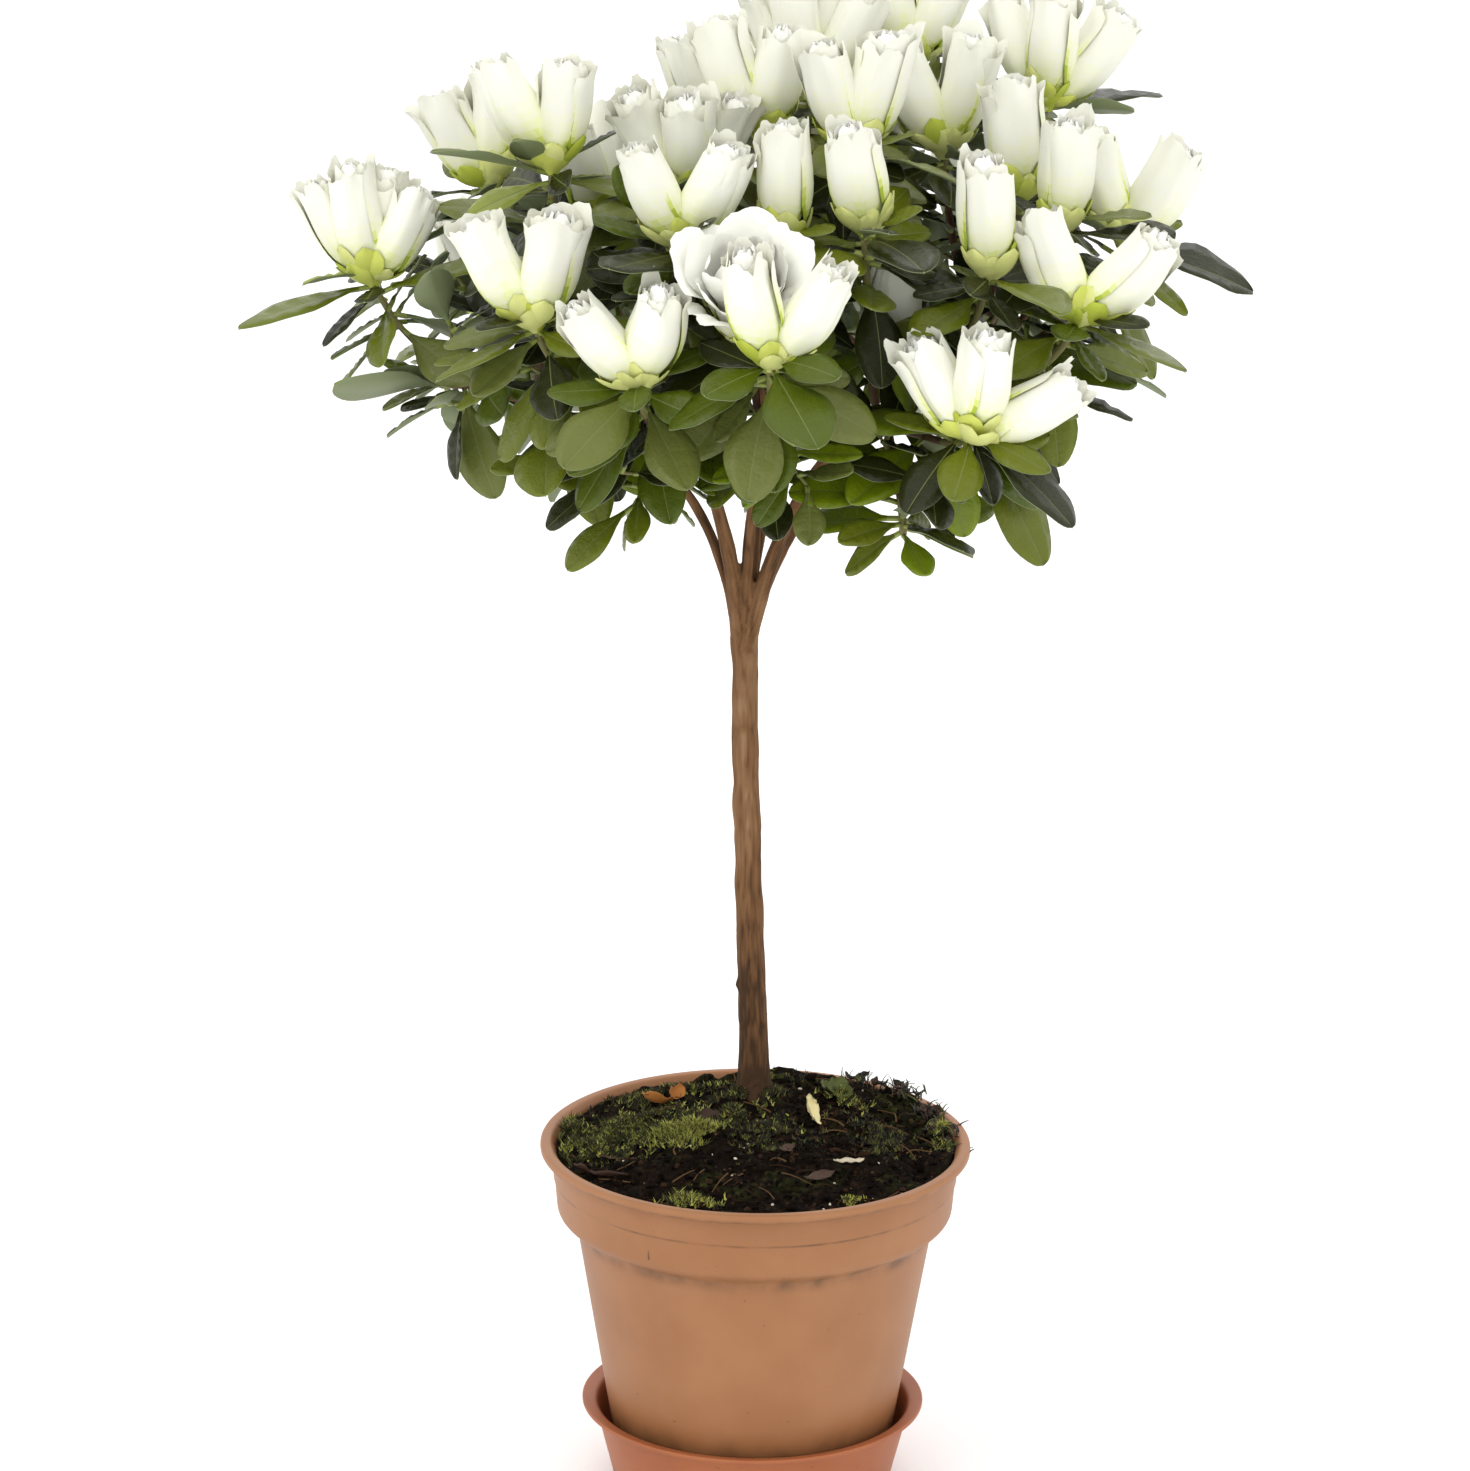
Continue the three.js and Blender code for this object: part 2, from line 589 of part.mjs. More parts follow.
// One leaf: a closed blade of eight faces that bends down towards its tip. It is larger all round
// by grow and starts at a distance from its root, to test that its blade is clear of the rest.
function leafGeometry(leaf, shift, grow = 0, start = 0) {
  const { root, axis, turn, angle, length, droop, roll } = leaf;
  const direction = leaning(axis, root, turn + shift, angle);
  const facing = outwardAt(root).multiplyScalar(LEAF.faceOut).add(UP);
  const axes = squareTo(direction, facing);
  const [above, side] = axes.map((p) => p.applyAxisAngle(direction, degToRad(roll)));
  const half = (length * LEAF.widthRatio) / 2 + grow;
  const thick = LEAF.thickness / 2 + grow;
  const at = (along, across, lift) =>
    root
      .clone()
      .addScaledVector(direction, along)
      .addScaledVector(side, across)
      .addScaledVector(above, lift - (droop * along * along) / length);
  const broad = LEAF.broadest * length;
  const ridge = Math.max(LEAF.thickest * length, start + LEAF.ridgeAfter);
  const outline = [at(start, 0, 0), at(broad, -half, 0), at(length + grow, 0, 0), at(broad, half, 0)];
  const faces = [0, 1, 2, 3].flatMap((i) => [i, 4, (i + 1) % 4, i, (i + 1) % 4, 5]);
  return body([...outline, at(ridge, 0, thick), at(ridge, 0, -thick)], faces);
}

// Grows every mass: all twigs, then the flowers, then the leaves. A flower or leaf that would touch
// a limb or another mass, or whose blade would cross its own mass, is turned or left out.
function growMasses(limbs) {
  const grown = MASSES.map((mass, i) => {
    const twigs = twigsOf(mass, randomSource(SEEDS.masses + i));
    const firstSeed = SEEDS.twigs + SEEDS.twigsPerMass * i;
    const randoms = twigs.map((_, k) => randomSource(firstSeed + k));
    const pieces = twigs.map((twig, k) => pieceOf(twigGeometry(twig, mass, k)));
    return { name: mass.name, twigs, randoms, pieces };
  });
  const isClear = (own, piece) =>
    !limbs.some((other) => touches(piece, other)) &&
    !grown.some((other) => other !== own && other.pieces.some((p) => touches(piece, p)));
  const addBloom = (own, bloom) => {
    if (isClear(own, pieceOf(bloomGeometry(bloom, LEAF.clear))))
      own.pieces.push(pieceOf(bloomGeometry(bloom)));
  };
  const addLeaf = (own, leaf) => {
    const shift = SHIFTS.find((turn) => {
      const blade = pieceOf(leafGeometry(leaf, turn, 0, LEAF.footing));
      return (
        !own.pieces.some((piece) => touches(blade, piece)) &&
        isClear(own, pieceOf(leafGeometry(leaf, turn, LEAF.clear)))
      );
    });
    if (shift !== undefined) own.pieces.push(pieceOf(leafGeometry(leaf, shift)));
  };
  for (const own of grown)
    own.twigs.forEach((twig, k) => {
      for (const bloom of bloomsOf(twig, own.randoms[k])) addBloom(own, bloom);
    });
  for (const own of grown)
    own.twigs.forEach((twig, k) => {
      for (const leaf of leavesOf(twig, own.randoms[k])) addLeaf(own, leaf);
    });
  return grown;
}

function named(name, geometry, look) {
  const mesh = new THREE.Mesh(geometry, new THREE.MeshStandardMaterial(look));
  mesh.name = name;
  return mesh;
}

const plant = new THREE.Group();
plant.add(named("saucer", saucerGeometry(), LOOKS.saucer));
plant.add(named("pot", potGeometry(), LOOKS.pot));
plant.add(named("soil", soilGeometry(), LOOKS.soil));
plant.add(named("trunk", trunkGeometry(), LOOKS.bark));
const boughs = boughSolids().map(geometryOf);
boughs.forEach((geometry, i) => plant.add(named(`bough_${MASSES[i].name}`, geometry, LOOKS.bark)));
const limbs = [trunkGeometry(), ...boughs].map(pieceOf);
for (const { name, pieces } of growMasses(limbs)) {
  const solid = fused(pieces.map((piece) => piece.solid));
  plant.add(named(`mass_${name}`, geometryOf(solid), LOOKS.foliage));
}

export default plant;
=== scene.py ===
"""The looks of a standard azalea in its pot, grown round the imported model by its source's rule."""

import math
from itertools import combinations
from types import SimpleNamespace as Sizes

import bpy
import numpy as np
from mathutils.bvhtree import BVHTree
from mathutils.kdtree import KDTree
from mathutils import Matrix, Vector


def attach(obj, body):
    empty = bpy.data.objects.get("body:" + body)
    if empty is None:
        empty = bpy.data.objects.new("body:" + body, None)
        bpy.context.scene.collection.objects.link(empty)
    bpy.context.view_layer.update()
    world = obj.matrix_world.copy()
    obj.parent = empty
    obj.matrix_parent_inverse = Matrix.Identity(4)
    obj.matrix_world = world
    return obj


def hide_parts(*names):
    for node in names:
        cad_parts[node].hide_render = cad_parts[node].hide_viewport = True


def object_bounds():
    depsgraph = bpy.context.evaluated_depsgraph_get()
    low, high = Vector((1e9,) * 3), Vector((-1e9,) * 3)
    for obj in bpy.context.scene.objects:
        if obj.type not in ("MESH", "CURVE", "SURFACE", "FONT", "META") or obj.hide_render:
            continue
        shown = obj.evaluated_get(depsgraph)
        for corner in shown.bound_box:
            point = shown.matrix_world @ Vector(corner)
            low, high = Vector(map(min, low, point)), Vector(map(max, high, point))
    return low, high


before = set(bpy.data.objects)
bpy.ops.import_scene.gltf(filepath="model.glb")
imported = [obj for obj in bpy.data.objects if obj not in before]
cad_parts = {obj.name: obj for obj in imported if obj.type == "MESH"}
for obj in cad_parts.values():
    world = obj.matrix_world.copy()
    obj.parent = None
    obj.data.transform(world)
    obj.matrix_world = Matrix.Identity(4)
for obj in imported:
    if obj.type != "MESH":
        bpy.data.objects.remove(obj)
CAD_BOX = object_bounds()

# Sizes are in mm here, and a mesh is made in metres.
MM = 0.001
TAU = 2 * math.pi
UP = np.array([0.0, 0.0, 1.0])
RIGHT = np.array([1.0, 0.0, 0.0])

# The source's own values, from which the limbs, twigs, flowers and leaves grow.
GAP = 0.3
SEED = 20
SEEDS = Sizes(
    masses=10, twigs=100, twigs_each=20, fine=30, tones=50, blades=70, blooms=90, compost=5, litter=8,
)
GOLDEN_TURN = 137.5
POT = Sizes(
    height=115, wall=1.3, floor=1.6, base=43.5, body_top=58.2, rim=70, rim_inside=66.6, lip=3,
    collar_top=66.2, collar_bottom=64.3, collar_depth=23.5, shoulder_depth=27.5, step_depth=12,
    step=0.4, foot_inset=2, foot_height=1.6,
)
SAUCER = Sizes(
    height=28, floor=1.8, wall=1.3, base=45.5, top=51.7, lip_radius=56, lip=1.4, foot=1, flare=1.2,
    lip_dip=1, lip_run=0.9, throat=1.6,
)
POT_Z = SAUCER.floor + GAP
RIM_Z = POT_Z + POT.height
SOIL = Sizes(
    edge_depth=2, mound=6.4, seat=11, bottom=98, bottom_ring=14, heap=4.5, heap_reach=9.5,
    back_heap=3.6, clear_of_trunk=7.5, clear_of_wall=2.2, fibre_reach=62,
)
FOOT = np.array([-0.5, 20, RIM_Z + SOIL.mound])
TRUNK = np.array([
    # height over the soil, lean towards -X, radius, depth of the root lobes
    [0, 0, 6.9, 0.22],
    [2.5, 0, 5.9, 0.12],
    [8, 0.1, 5.1, 0.04],
    [20, 0.3, 4.8, 0],
    [42, 1.2, 4.6, 0],
    [75, 2.6, 4.5, 0],
    [112, 3.9, 4.35, 0],
    [150, 4.6, 4.3, 0],
    [163, 4.9, 4.7, 0],
    [171, 5.1, 5.5, 0.06],
    [176, 5.2, 5.1, 0.1],
    [179.5, 5.2, 3.4, 0.1],
])
ROOT_LOBES = 4
CROWN_AXIS = np.array([-4.0, 20.0, 0.0])


def shoot(turn, out, up, leans, **more):
    return dict(turn=turn, out=out, up=up, leans=leans, **more)


MASSES = [
    dict(name="left", radius=1.9, fork=171, tip=(190, 60, 357), bend=(0.18, 0.18, 0.84), shoots=[
        shoot(182, 120, 399, [-26, -8, 8, 22]),
        shoot(198, 66, 439, [-24, 2]),
        shoot(152, 96, 419, [-26, -6]),
    ]),
    dict(name="front_left", radius=2.9, fork=173, tip=(236, 31, 348), shoots=[
        shoot(224, 93, 399, [-24, 6]),
        shoot(249, 96, 386, [-30, 6]),
        shoot(250, 64, 423, [-18, 20]),
    ]),
    dict(name="front", radius=2.3, fork=174, tip=(276, 30, 352), shoots=[
        shoot(273, 105, 397, [-6, 26]),
        shoot(270, 78, 400, [-8], mouth=20, tilt=40),
        shoot(280, 56, 424, [0]),
    ]),
    dict(name="front_right", radius=2.9, fork=166, tip=(318, 36, 350), shoots=[
        shoot(305, 117, 373, [-26, 6, 56]),
        shoot(327, 119, 402, [-16, 36]),
        shoot(318, 97, 416, [-4]),
        shoot(300, 69, 428, [-10]),
        shoot(315, 58, 381, [6]),
    ]),
    dict(name="right", radius=2.3, fork=172, tip=(2, 46, 356), shoots=[
        shoot(355, 117, 415, [-12, 26]),
        shoot(20, 99, 450, [-16, 4, 34]),
        shoot(340, 101, 424, [4]),
        shoot(353, 84, 429, [-6]),
        shoot(14, 62, 438, [-20, 8]),
    ]),
    dict(name="top", radius=2.6, fork=176, tip=(340, 5, 374), shoots=[
        shoot(0, 2, 446, [-16, 6]),
        shoot(62, 38, 453, [-24, -8, 8, 24]),
        shoot(321, 40, 446, [-12, 10]),
        shoot(218, 24, 430, [-26, -4, 18], mouth=12),
        shoot(48, 74, 458, [-6, 18]),
    ]),
    dict(name="back_right", radius=2.2, fork=173, tip=(66, 40, 352), fan=(66, 446)),
    dict(name="back_left", radius=2.2, fork=172, tip=(124, 40, 346), fan=(124, 426)),
]
FAN = [(-16, 118), (14, 113), (-2, 76), (34, 56)]
FAN_LEANS = [[-20, 12], [-24, 0, 22], [-8, 20]]
DOME = Sizes(fall=0.0042, out_sway=2, up_sway=3)
# A bend is the shares of the way from a limb's foot to its tip, along X, Y and Z, where it turns.
BOUGH = Sizes(root_offset=2.4, root_drop=9, tip_ratio=0.62, bend=(0.34, 0.34, 0.66))
STEM = Sizes(sides=5, steps=4, start_ratio=0.9, tip_radius=1.2, branch_from=0.12, branch_to=0.44)
TWIG = Sizes(sides=3, steps=3, radius=1.7, tip_radius=1.4, bend=(0.86, 0.86, 0.4))
LEAF = Sizes(
    length=30, more=8, width=0.54, broadest=0.64, thick=1.4, thickest=0.14, droop=0.05,
    droop_more=0.2, face_out=0.6, roll=14, clear=0.35, footing=4, ridge_after=1,
)
WHORL = Sizes(
    leaves=7, below=3, spacing=2.6, first=78, last=128, sway=8, turn_sway=20, outer_more=10,
)
SIDE_LEAVES = Sizes(count=3, start=0.5, end=0.86, angle=70, least_reach=40)
SIDE_SHOOT = Sizes(least_out=78, out_ratio=0.82, drop=35, leaves=6, sway=12, start=0.34)
SHIFTS = (0, 24, -24, 48)
BLOOM = Sizes(
    sides=6, length=33, more=6, belly_at=0.42, belly=11.4, crowding=0.7, mouth_ratio=0.75,
    open_belly=0.6, mouth_dip=0.9, ragged=1, cup=0.78, sunk=1.2, splay=15, depth_splay=21, tilt=12,
    sway=5,
)


# Numbers, noise and directions.
def random_source(seed):
    state = (SEED * 7919 + seed * 104729) % 2**32

    def draw():
        nonlocal state
        state = (state * 1664525 + 1013904223) % 2**32
        return (state >> 8) / 2**24

    return draw


def swayed(draw):
    return 2 * draw() - 1


def lattice(cell, seed):
    """A number from -1 to 1 for each whole-numbered cell."""
    x, y, z = (cell[..., i].astype(np.int64) for i in range(3))
    n = ((x * 73856093) ^ (y * 19349663) ^ (z * 83492791) ^ (seed * 2654435761)) & 0xFFFFFFFF
    n = ((n ^ (n >> 15)) * 2246822519) & 0xFFFFFFFF
    n = ((n ^ (n >> 13)) * 3266489917) & 0xFFFFFFFF
    return ((n ^ (n >> 16)) & 0xFFFFFF) / 0x7FFFFF - 1


def noise(points, seed):
    """Smooth noise from -1 to 1, with features about one unit across."""
    cell = np.floor(points)
    part = points - cell
    part = part * part * (3 - 2 * part)
    value = 0
    for corner in np.ndindex(2, 2, 2):
        weight = np.prod(np.where(corner, part, 1 - part), axis=-1)
        value = value + weight * lattice(cell + corner, seed)
    return value


def joined(*axes):
    """Points whose coordinates are given apart, each in a shape that spreads to the whole."""
    return np.stack(np.broadcast_arrays(*axes), -1)


def around(radius, angle, *height):
    """Points about the origin, in the plane or at a height."""
    return joined(radius * np.cos(angle), radius * np.sin(angle), *height)


def ring_of(sides):
    return TAU * np.arange(sides) / sides


def unit(vector):
    return vector / np.linalg.norm(vector, axis=-1, keepdims=True)


def mix(a, b, share):
    return a + (b - a) * share


def smooth_step(low, high, value):
    share = np.clip((value - low) / (high - low), 0, 1)
    return share * share * (3 - 2 * share)


def in_crown(turn, out, up):
    return CROWN_AXIS + around(out, math.radians(turn), up)


def outward_at(place):
    """A level direction out from the middle of the crown."""
    return unit((place - CROWN_AXIS) * [1, 1, 0])


def square_to(direction, hint):
    first = unit(hint - direction * np.sum(hint * direction, axis=-1, keepdims=True))
    return first, np.cross(direction, first)


def swung(first, second, angle):
    """The first direction, swung towards the second by an angle in radians."""
    angle = np.asarray(angle, float)[..., None]
    return first * np.cos(angle) + second * np.sin(angle)


def turned(x, y, angle):
    """Two coordinates turned by an angle in radians."""
    return x * np.cos(angle) - y * np.sin(angle), x * np.sin(angle) + y * np.cos(angle)


def leaning(axis, place, turn, angle):
    away = swung(*square_to(axis, outward_at(place)), math.radians(turn))
    return swung(axis, away, math.radians(angle))


class Curve:
    """A Bezier curve whose points are found by their share of its length."""

    def __init__(self, *controls):
        self.controls = [np.asarray(c, float) for c in controls]
        self.steps = np.linspace(0, 1, 201)
        spans = np.linalg.norm(np.diff(self.point(self.steps), axis=0), axis=1)
        self.lengths = np.concatenate([[0], np.cumsum(spans)])
        self.length = self.lengths[-1]

    def point(self, t):
        t = np.asarray(t, float)[..., None]
        points = list(self.controls)
        while len(points) > 1:
            points = [a + (b - a) * t for a, b in zip(points, points[1:])]
        return points[0]

    def step_at(self, share):
        return np.interp(np.asarray(share) * self.length, self.lengths, self.steps)

    def at(self, share):
        return self.point(self.step_at(share))

    def tangent(self, t):
        t = np.asarray(t, float)
        return unit(self.point(np.minimum(t + 1e-4, 1)) - self.point(np.maximum(t - 1e-4, 0)))


def carried(tangents):
    """Two directions square to each tangent, carried along a curve without twist."""
    first = tangents[0]
    start = np.eye(3)[2 - np.argmin(np.abs(first)[::-1])]
    normals = [np.cross(first, unit(np.cross(first, start)))]
    for tangent in tangents[1:]:
        normals.append(unit(normals[-1] - tangent * (normals[-1] @ tangent)))
    normals = np.array(normals)
    return normals, np.cross(tangents, normals)


def tube(curve, radius_at, sides, steps, turn=0.0):
    """Rings of points about a curve."""
    shares = np.linspace(0, 1, steps + 1)
    normals, others = carried(curve.tangent(curve.step_at(shares)))
    radii = np.broadcast_to(radius_at(shares), shares.shape)[:, None, None]
    spokes = swung(normals[:, None], others[:, None], turn + ring_of(sides))
    return curve.at(shares)[:, None] + radii * spokes


def grid_faces(rows, columns, closed=True):
    i, j = np.meshgrid(np.arange(rows - 1), np.arange(columns - (not closed)), indexing="ij")
    a, b = i * columns + j, i * columns + (j + 1) % columns
    return np.stack([a, b, b + columns, a + columns], -1).reshape(-1, 4)


def capped(rows, columns, caps):
    """The faces of a closed skin, both ends of which are closed by the caps."""
    return np.concatenate([grid_faces(rows, columns), caps, caps[:, ::-1] + (rows - 1) * columns])


# Materials and meshes.
def tone(*levels):
    """A colour given as it shows on a screen, out of 255."""
    return tuple(((x / 255 + 0.055) / 1.055) ** 2.4 for x in levels) + (1.0,)


def fill(made, node, inputs):
    """Gives a node's inputs, by name or number, a value or another node's output."""
    for name, value in dict(inputs).items():
        if isinstance(value, bpy.types.NodeSocket):
            made.node_tree.links.new(value, node.inputs[name])
        else:
            node.inputs[name].default_value = value


def add_node(made, kind, inputs=(), output=0, **settings):
    """The output of a new node."""
    node = made.node_tree.nodes.new("ShaderNode" + kind)
    for name, value in settings.items():
        setattr(node, name, value)
    fill(made, node, inputs)
    return node.outputs[output]


def shade(made, **inputs):
    shader = made.node_tree.nodes["Principled BSDF"]
    fill(made, shader, {name.replace("_", " "): value for name, value in inputs.items()})


def place_of(made):
    return add_node(made, "TexCoord", output="Object")


def grain(made, size, detail=3.0, seed=0.0, stretch=(1, 1, 1)):
    """Noise whose features are about size mm across, as a number from 0 to 1."""
    inputs = {"Vector": place_of(made), "Scale": stretch, "Location": (seed, seed, 0)}
    inputs = {"Vector": add_node(made, "Mapping", inputs), "Scale": 1 / (size * MM), "Detail": detail}
    return add_node(made, "TexNoise", inputs, "Fac")


def material(name, levels, roughness, bump, specular=0.5):
    """A material of one base colour, with fine relief of a given size and depth in mm."""
    made = bpy.data.materials.new(name)
    made.use_nodes = True
    size, depth = bump
    relief = {"Height": grain(made, size), "Distance": depth * MM, "Strength": 1.0}
    shade(made, Base_Color=tone(*levels), Roughness=roughness, Specular_IOR_Level=specular,
          Normal=add_node(made, "Bump", relief))
    return made


def looks(tones, *settings):
    """Materials that differ in their name and colour."""
    return [material(name, levels, *settings) for name, *levels in tones]


def ramp(made, value, *stops):
    """Colours at places along a value."""
    colours = add_node(made, "ValToRGB", {"Fac": value})
    elements = colours.node.color_ramp.elements
    while len(elements) < len(stops):
        elements.new(0.5)
    for element, (place, *levels) in zip(elements, stops):
        element.position = place
        element.color = tone(*levels)
    return colours


def blended(made, share, a, b):
    return add_node(made, "Mix", {0: share, 6: a, 7: b}, 2, data_type="RGBA")


def calculated(made, operation, *values):
    return add_node(made, "Math", enumerate(values), operation=operation)


def between(made, value, low, high):
    inputs = {"Value": value, "From Min": low, "From Max": high}
    return add_node(made, "MapRange", inputs, interpolation_type="SMOOTHSTEP")


class Piece:
    """A mesh that is gathered part by part."""

    def __init__(self, name, materials):
        self.name, self.materials = name, materials
        self.points, self.faces, self.slots, self.count = [], [], [], 0

    def add(self, points, faces, slots=0):
        points = np.reshape(points, (-1, 3))
        self.points.append(points)
        self.faces.append(faces + self.count)
        self.slots.append(np.broadcast_to(slots, len(faces)))
        self.count += len(points)

    def add_each(self, points, faces, slots):
        """The same faces for each item; the slots are one for each item, or one for each face."""
        count, points_each = len(points), points[0].size // 3
        every = faces[None] + (np.arange(count) * points_each)[:, None, None]
        slots = np.broadcast_to(np.reshape(slots, (count, -1)), (count, len(faces)))
        self.add(points, every.reshape(-1, faces.shape[1]), slots.ravel())

    def add_tube(self, rings, slots=0):
        """A closed tube, whose ends are fans of triangles."""
        rows, sides = rings.shape[:2]
        self.add(rings, grid_faces(rows, sides), slots)
        fan = np.array([[0, j + 1, j] for j in range(1, sides - 1)])
        ends = np.concatenate([fan - rows * sides, fan[:, ::-1] - sides])
        self.add(np.empty((0, 3)), ends, np.ravel(slots)[-1])

    def made(self, replaces=(), slot=None, smooth=True):
        mesh = bpy.data.meshes.new(self.name)
        corners = np.concatenate([f.ravel() for f in self.faces])
        sizes = np.concatenate([np.full(len(f), f.shape[1]) for f in self.faces])
        mesh.vertices.add(self.count)
        mesh.loops.add(len(corners))
        mesh.polygons.add(len(sizes))
        mesh.vertices.foreach_set("co", (np.concatenate(self.points) * MM).ravel())
        mesh.loops.foreach_set("vertex_index", corners.astype(np.int32))
        mesh.polygons.foreach_set("loop_start", (np.cumsum(sizes) - sizes).astype(np.int32))
        mesh.polygons.foreach_set("material_index", np.concatenate(self.slots).astype(np.int32))
        mesh.polygons.foreach_set("use_smooth", np.full(len(sizes), smooth))
        mesh.update(calc_edges=True)
        mesh.validate()
        return placed(self.name, mesh, self.materials, replaces)


def stood(name, data):
    """New data as an object in the scene."""
    thing = bpy.data.objects.new(name, data)
    bpy.context.scene.collection.objects.link(thing)
    return thing


def placed(name, mesh, materials, replaces=()):
    """A mesh as a piece of the object, on its one body."""
    for each in materials:
        mesh.materials.append(each)
    piece = stood(name, mesh)
    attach(piece, "root")
    if replaces:
        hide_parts(*replaces)
    return piece


# The camera and the light.
CAMERA = Sizes(place=(-0.008, -1.9708, 0.8421), down=16.61, roll=0.6, lens=157.6, sensor=36, far=50)
LIGHTS = [
    # name, place, the height of the point it is aimed at, size, power
    ("key", (-1.1, -1.3, 2.0), 0.3, 1.1, 9),
    ("fill", (0.9, -2.0, 0.5), 0.35, 1.4, 4.5),
    ("back", (0.3, 1.6, 1.7), 0.3, 1.6, 5),
]
SKY = 1.28
FLOOR = Sizes(half=6.0, level=-0.0002)


def set_camera():
    data = bpy.data.cameras.new("camera")
    data.sensor_width = CAMERA.sensor
    data.lens = CAMERA.lens
    data.clip_end = CAMERA.far
    camera = stood("camera", data)
    camera.location = CAMERA.place
    camera.rotation_euler = (math.radians(90 - CAMERA.down), 0, 0)
    camera.rotation_euler.rotate_axis("Z", math.radians(CAMERA.roll))
    bpy.context.scene.camera = camera


def set_studio():
    scene = bpy.context.scene
    scene.view_settings.view_transform = "Standard"
    scene.world = bpy.data.worlds.new("studio")
    scene.world.use_nodes = True
    sky = {"Color": (1, 1, 1, 1), "Strength": SKY}
    fill(scene.world, scene.world.node_tree.nodes["Background"], sky)
    for name, place, aim, size, power in LIGHTS:
        data = bpy.data.lights.new(name, "AREA")
        data.shape = "DISK"
        data.size = size
        data.energy = power
        light = stood(name, data)
        light.location = place
        direction = Vector((0, 0, aim)) - Vector(place)
        light.rotation_euler = direction.to_track_quat("-Z", "Y").to_euler()
    mesh = bpy.data.meshes.new("floor")
    corners = [(x * FLOOR.half, y * FLOOR.half, FLOOR.level)
               for x, y in ((-1, -1), (1, -1), (1, 1), (-1, 1))]
    mesh.from_pydata(corners, [], [(0, 1, 2, 3)])
    mesh.materials.append(material("floor_white", (250, 250, 250), 0.6, (40, 0.05)))
    stood("floor", mesh)


# The pot and its saucer, turned from rounded profiles.
EDGE = 0.6


def rounded(profile, steps=4):
    """A profile whose inner corners are rounded; a corner may give its own radius."""
    corners = [np.array(c[:2], float) for c in profile]
    line = [corners[0]]
    for k in range(1, len(corners) - 1):
        before, corner, after = corners[k - 1 : k + 2]
        reach = profile[k][2] if len(profile[k]) > 2 else EDGE
        sides = [before - corner, after - corner]
        reach = min([reach] + [0.45 * np.linalg.norm(side) for side in sides])
        start, end = (corner + unit(side) * reach for side in sides)
        line += list(Curve(start, corner, end).point(np.linspace(0, 1, steps + 1)))
    return np.array(line + [corners[-1]])


def lathe(piece, line, segments=160):
    """A closed surface of revolution from the axis to the axis."""
    inner = line[1:-1]
    rings = around(inner[:, :1], ring_of(segments), inner[:, 1:])
    piece.add(rings, grid_faces(len(inner), segments))
    ends = np.array([[0, 0, line[0, 1]], [0, 0, line[-1, 1]]])
    j = np.arange(segments)
    following = (j + 1) % segments
    start = -len(inner) * segments
    low = joined(0, start + following, start + j)
    high = joined(1, j - segments, following - segments)
    piece.add(ends, np.concatenate([low, high]))


def pot_inside(height):
    heights = [0, POT.height - POT.shoulder_depth, POT.height - POT.collar_depth, POT.height]
    radii = [POT.base, POT.body_top, POT.collar_bottom, POT.collar_top]
    return np.interp(height, heights, radii) - POT.wall


SOIL_EDGE = pot_inside(POT.height - SOIL.edge_depth)


def terracotta(name, base, other, dirt_and_shade, darkened_bands):
    """Moulded plastic in clay red with dark specks of dirt, and darker in broken bands given as (height,
    reach) in mm, which on the pot are mostly painted shade.
    """
    made = material(name, base, 0.5, (0.7, 0.02), 0.4)
    cloud = ramp(made, grain(made, 26, 4), (0.35, *base), (0.65, *other))
    height = add_node(made, "SeparateXYZ", {"Vector": place_of(made)}, "Z")
    share = 0.0
    for level, reach in darkened_bands:
        away = calculated(made, "ABSOLUTE", calculated(made, "SUBTRACT", height, level * MM))
        share = calculated(made, "MAXIMUM", share, between(made, away, reach * MM, 0.0))
    breakup = between(made, grain(made, 9, 6, 3.0, (1, 1, 0.5)), 0.3, 0.8)
    # The bands darken the clay, broken up by noise: on the pot, painted shade beneath the lip, in the
    # step and under the collar.
    darkened = blended(made, calculated(made, "MULTIPLY", share, breakup), cloud, tone(*dirt_and_shade))
    specks = between(made, grain(made, 1.5, 1, 7.0), 0.76, 0.82)
    specks = calculated(made, "MULTIPLY", specks, 0.8)
    shade(made, Base_Color=blended(made, specks, darkened, tone(*dirt_and_shade)))
    return made


# The thin upright mark that the mould left on the collar.
MARK = Sizes(angle=math.radians(-121.5), low=96.4, high=104.9, radius=0.35, proud=0.2)


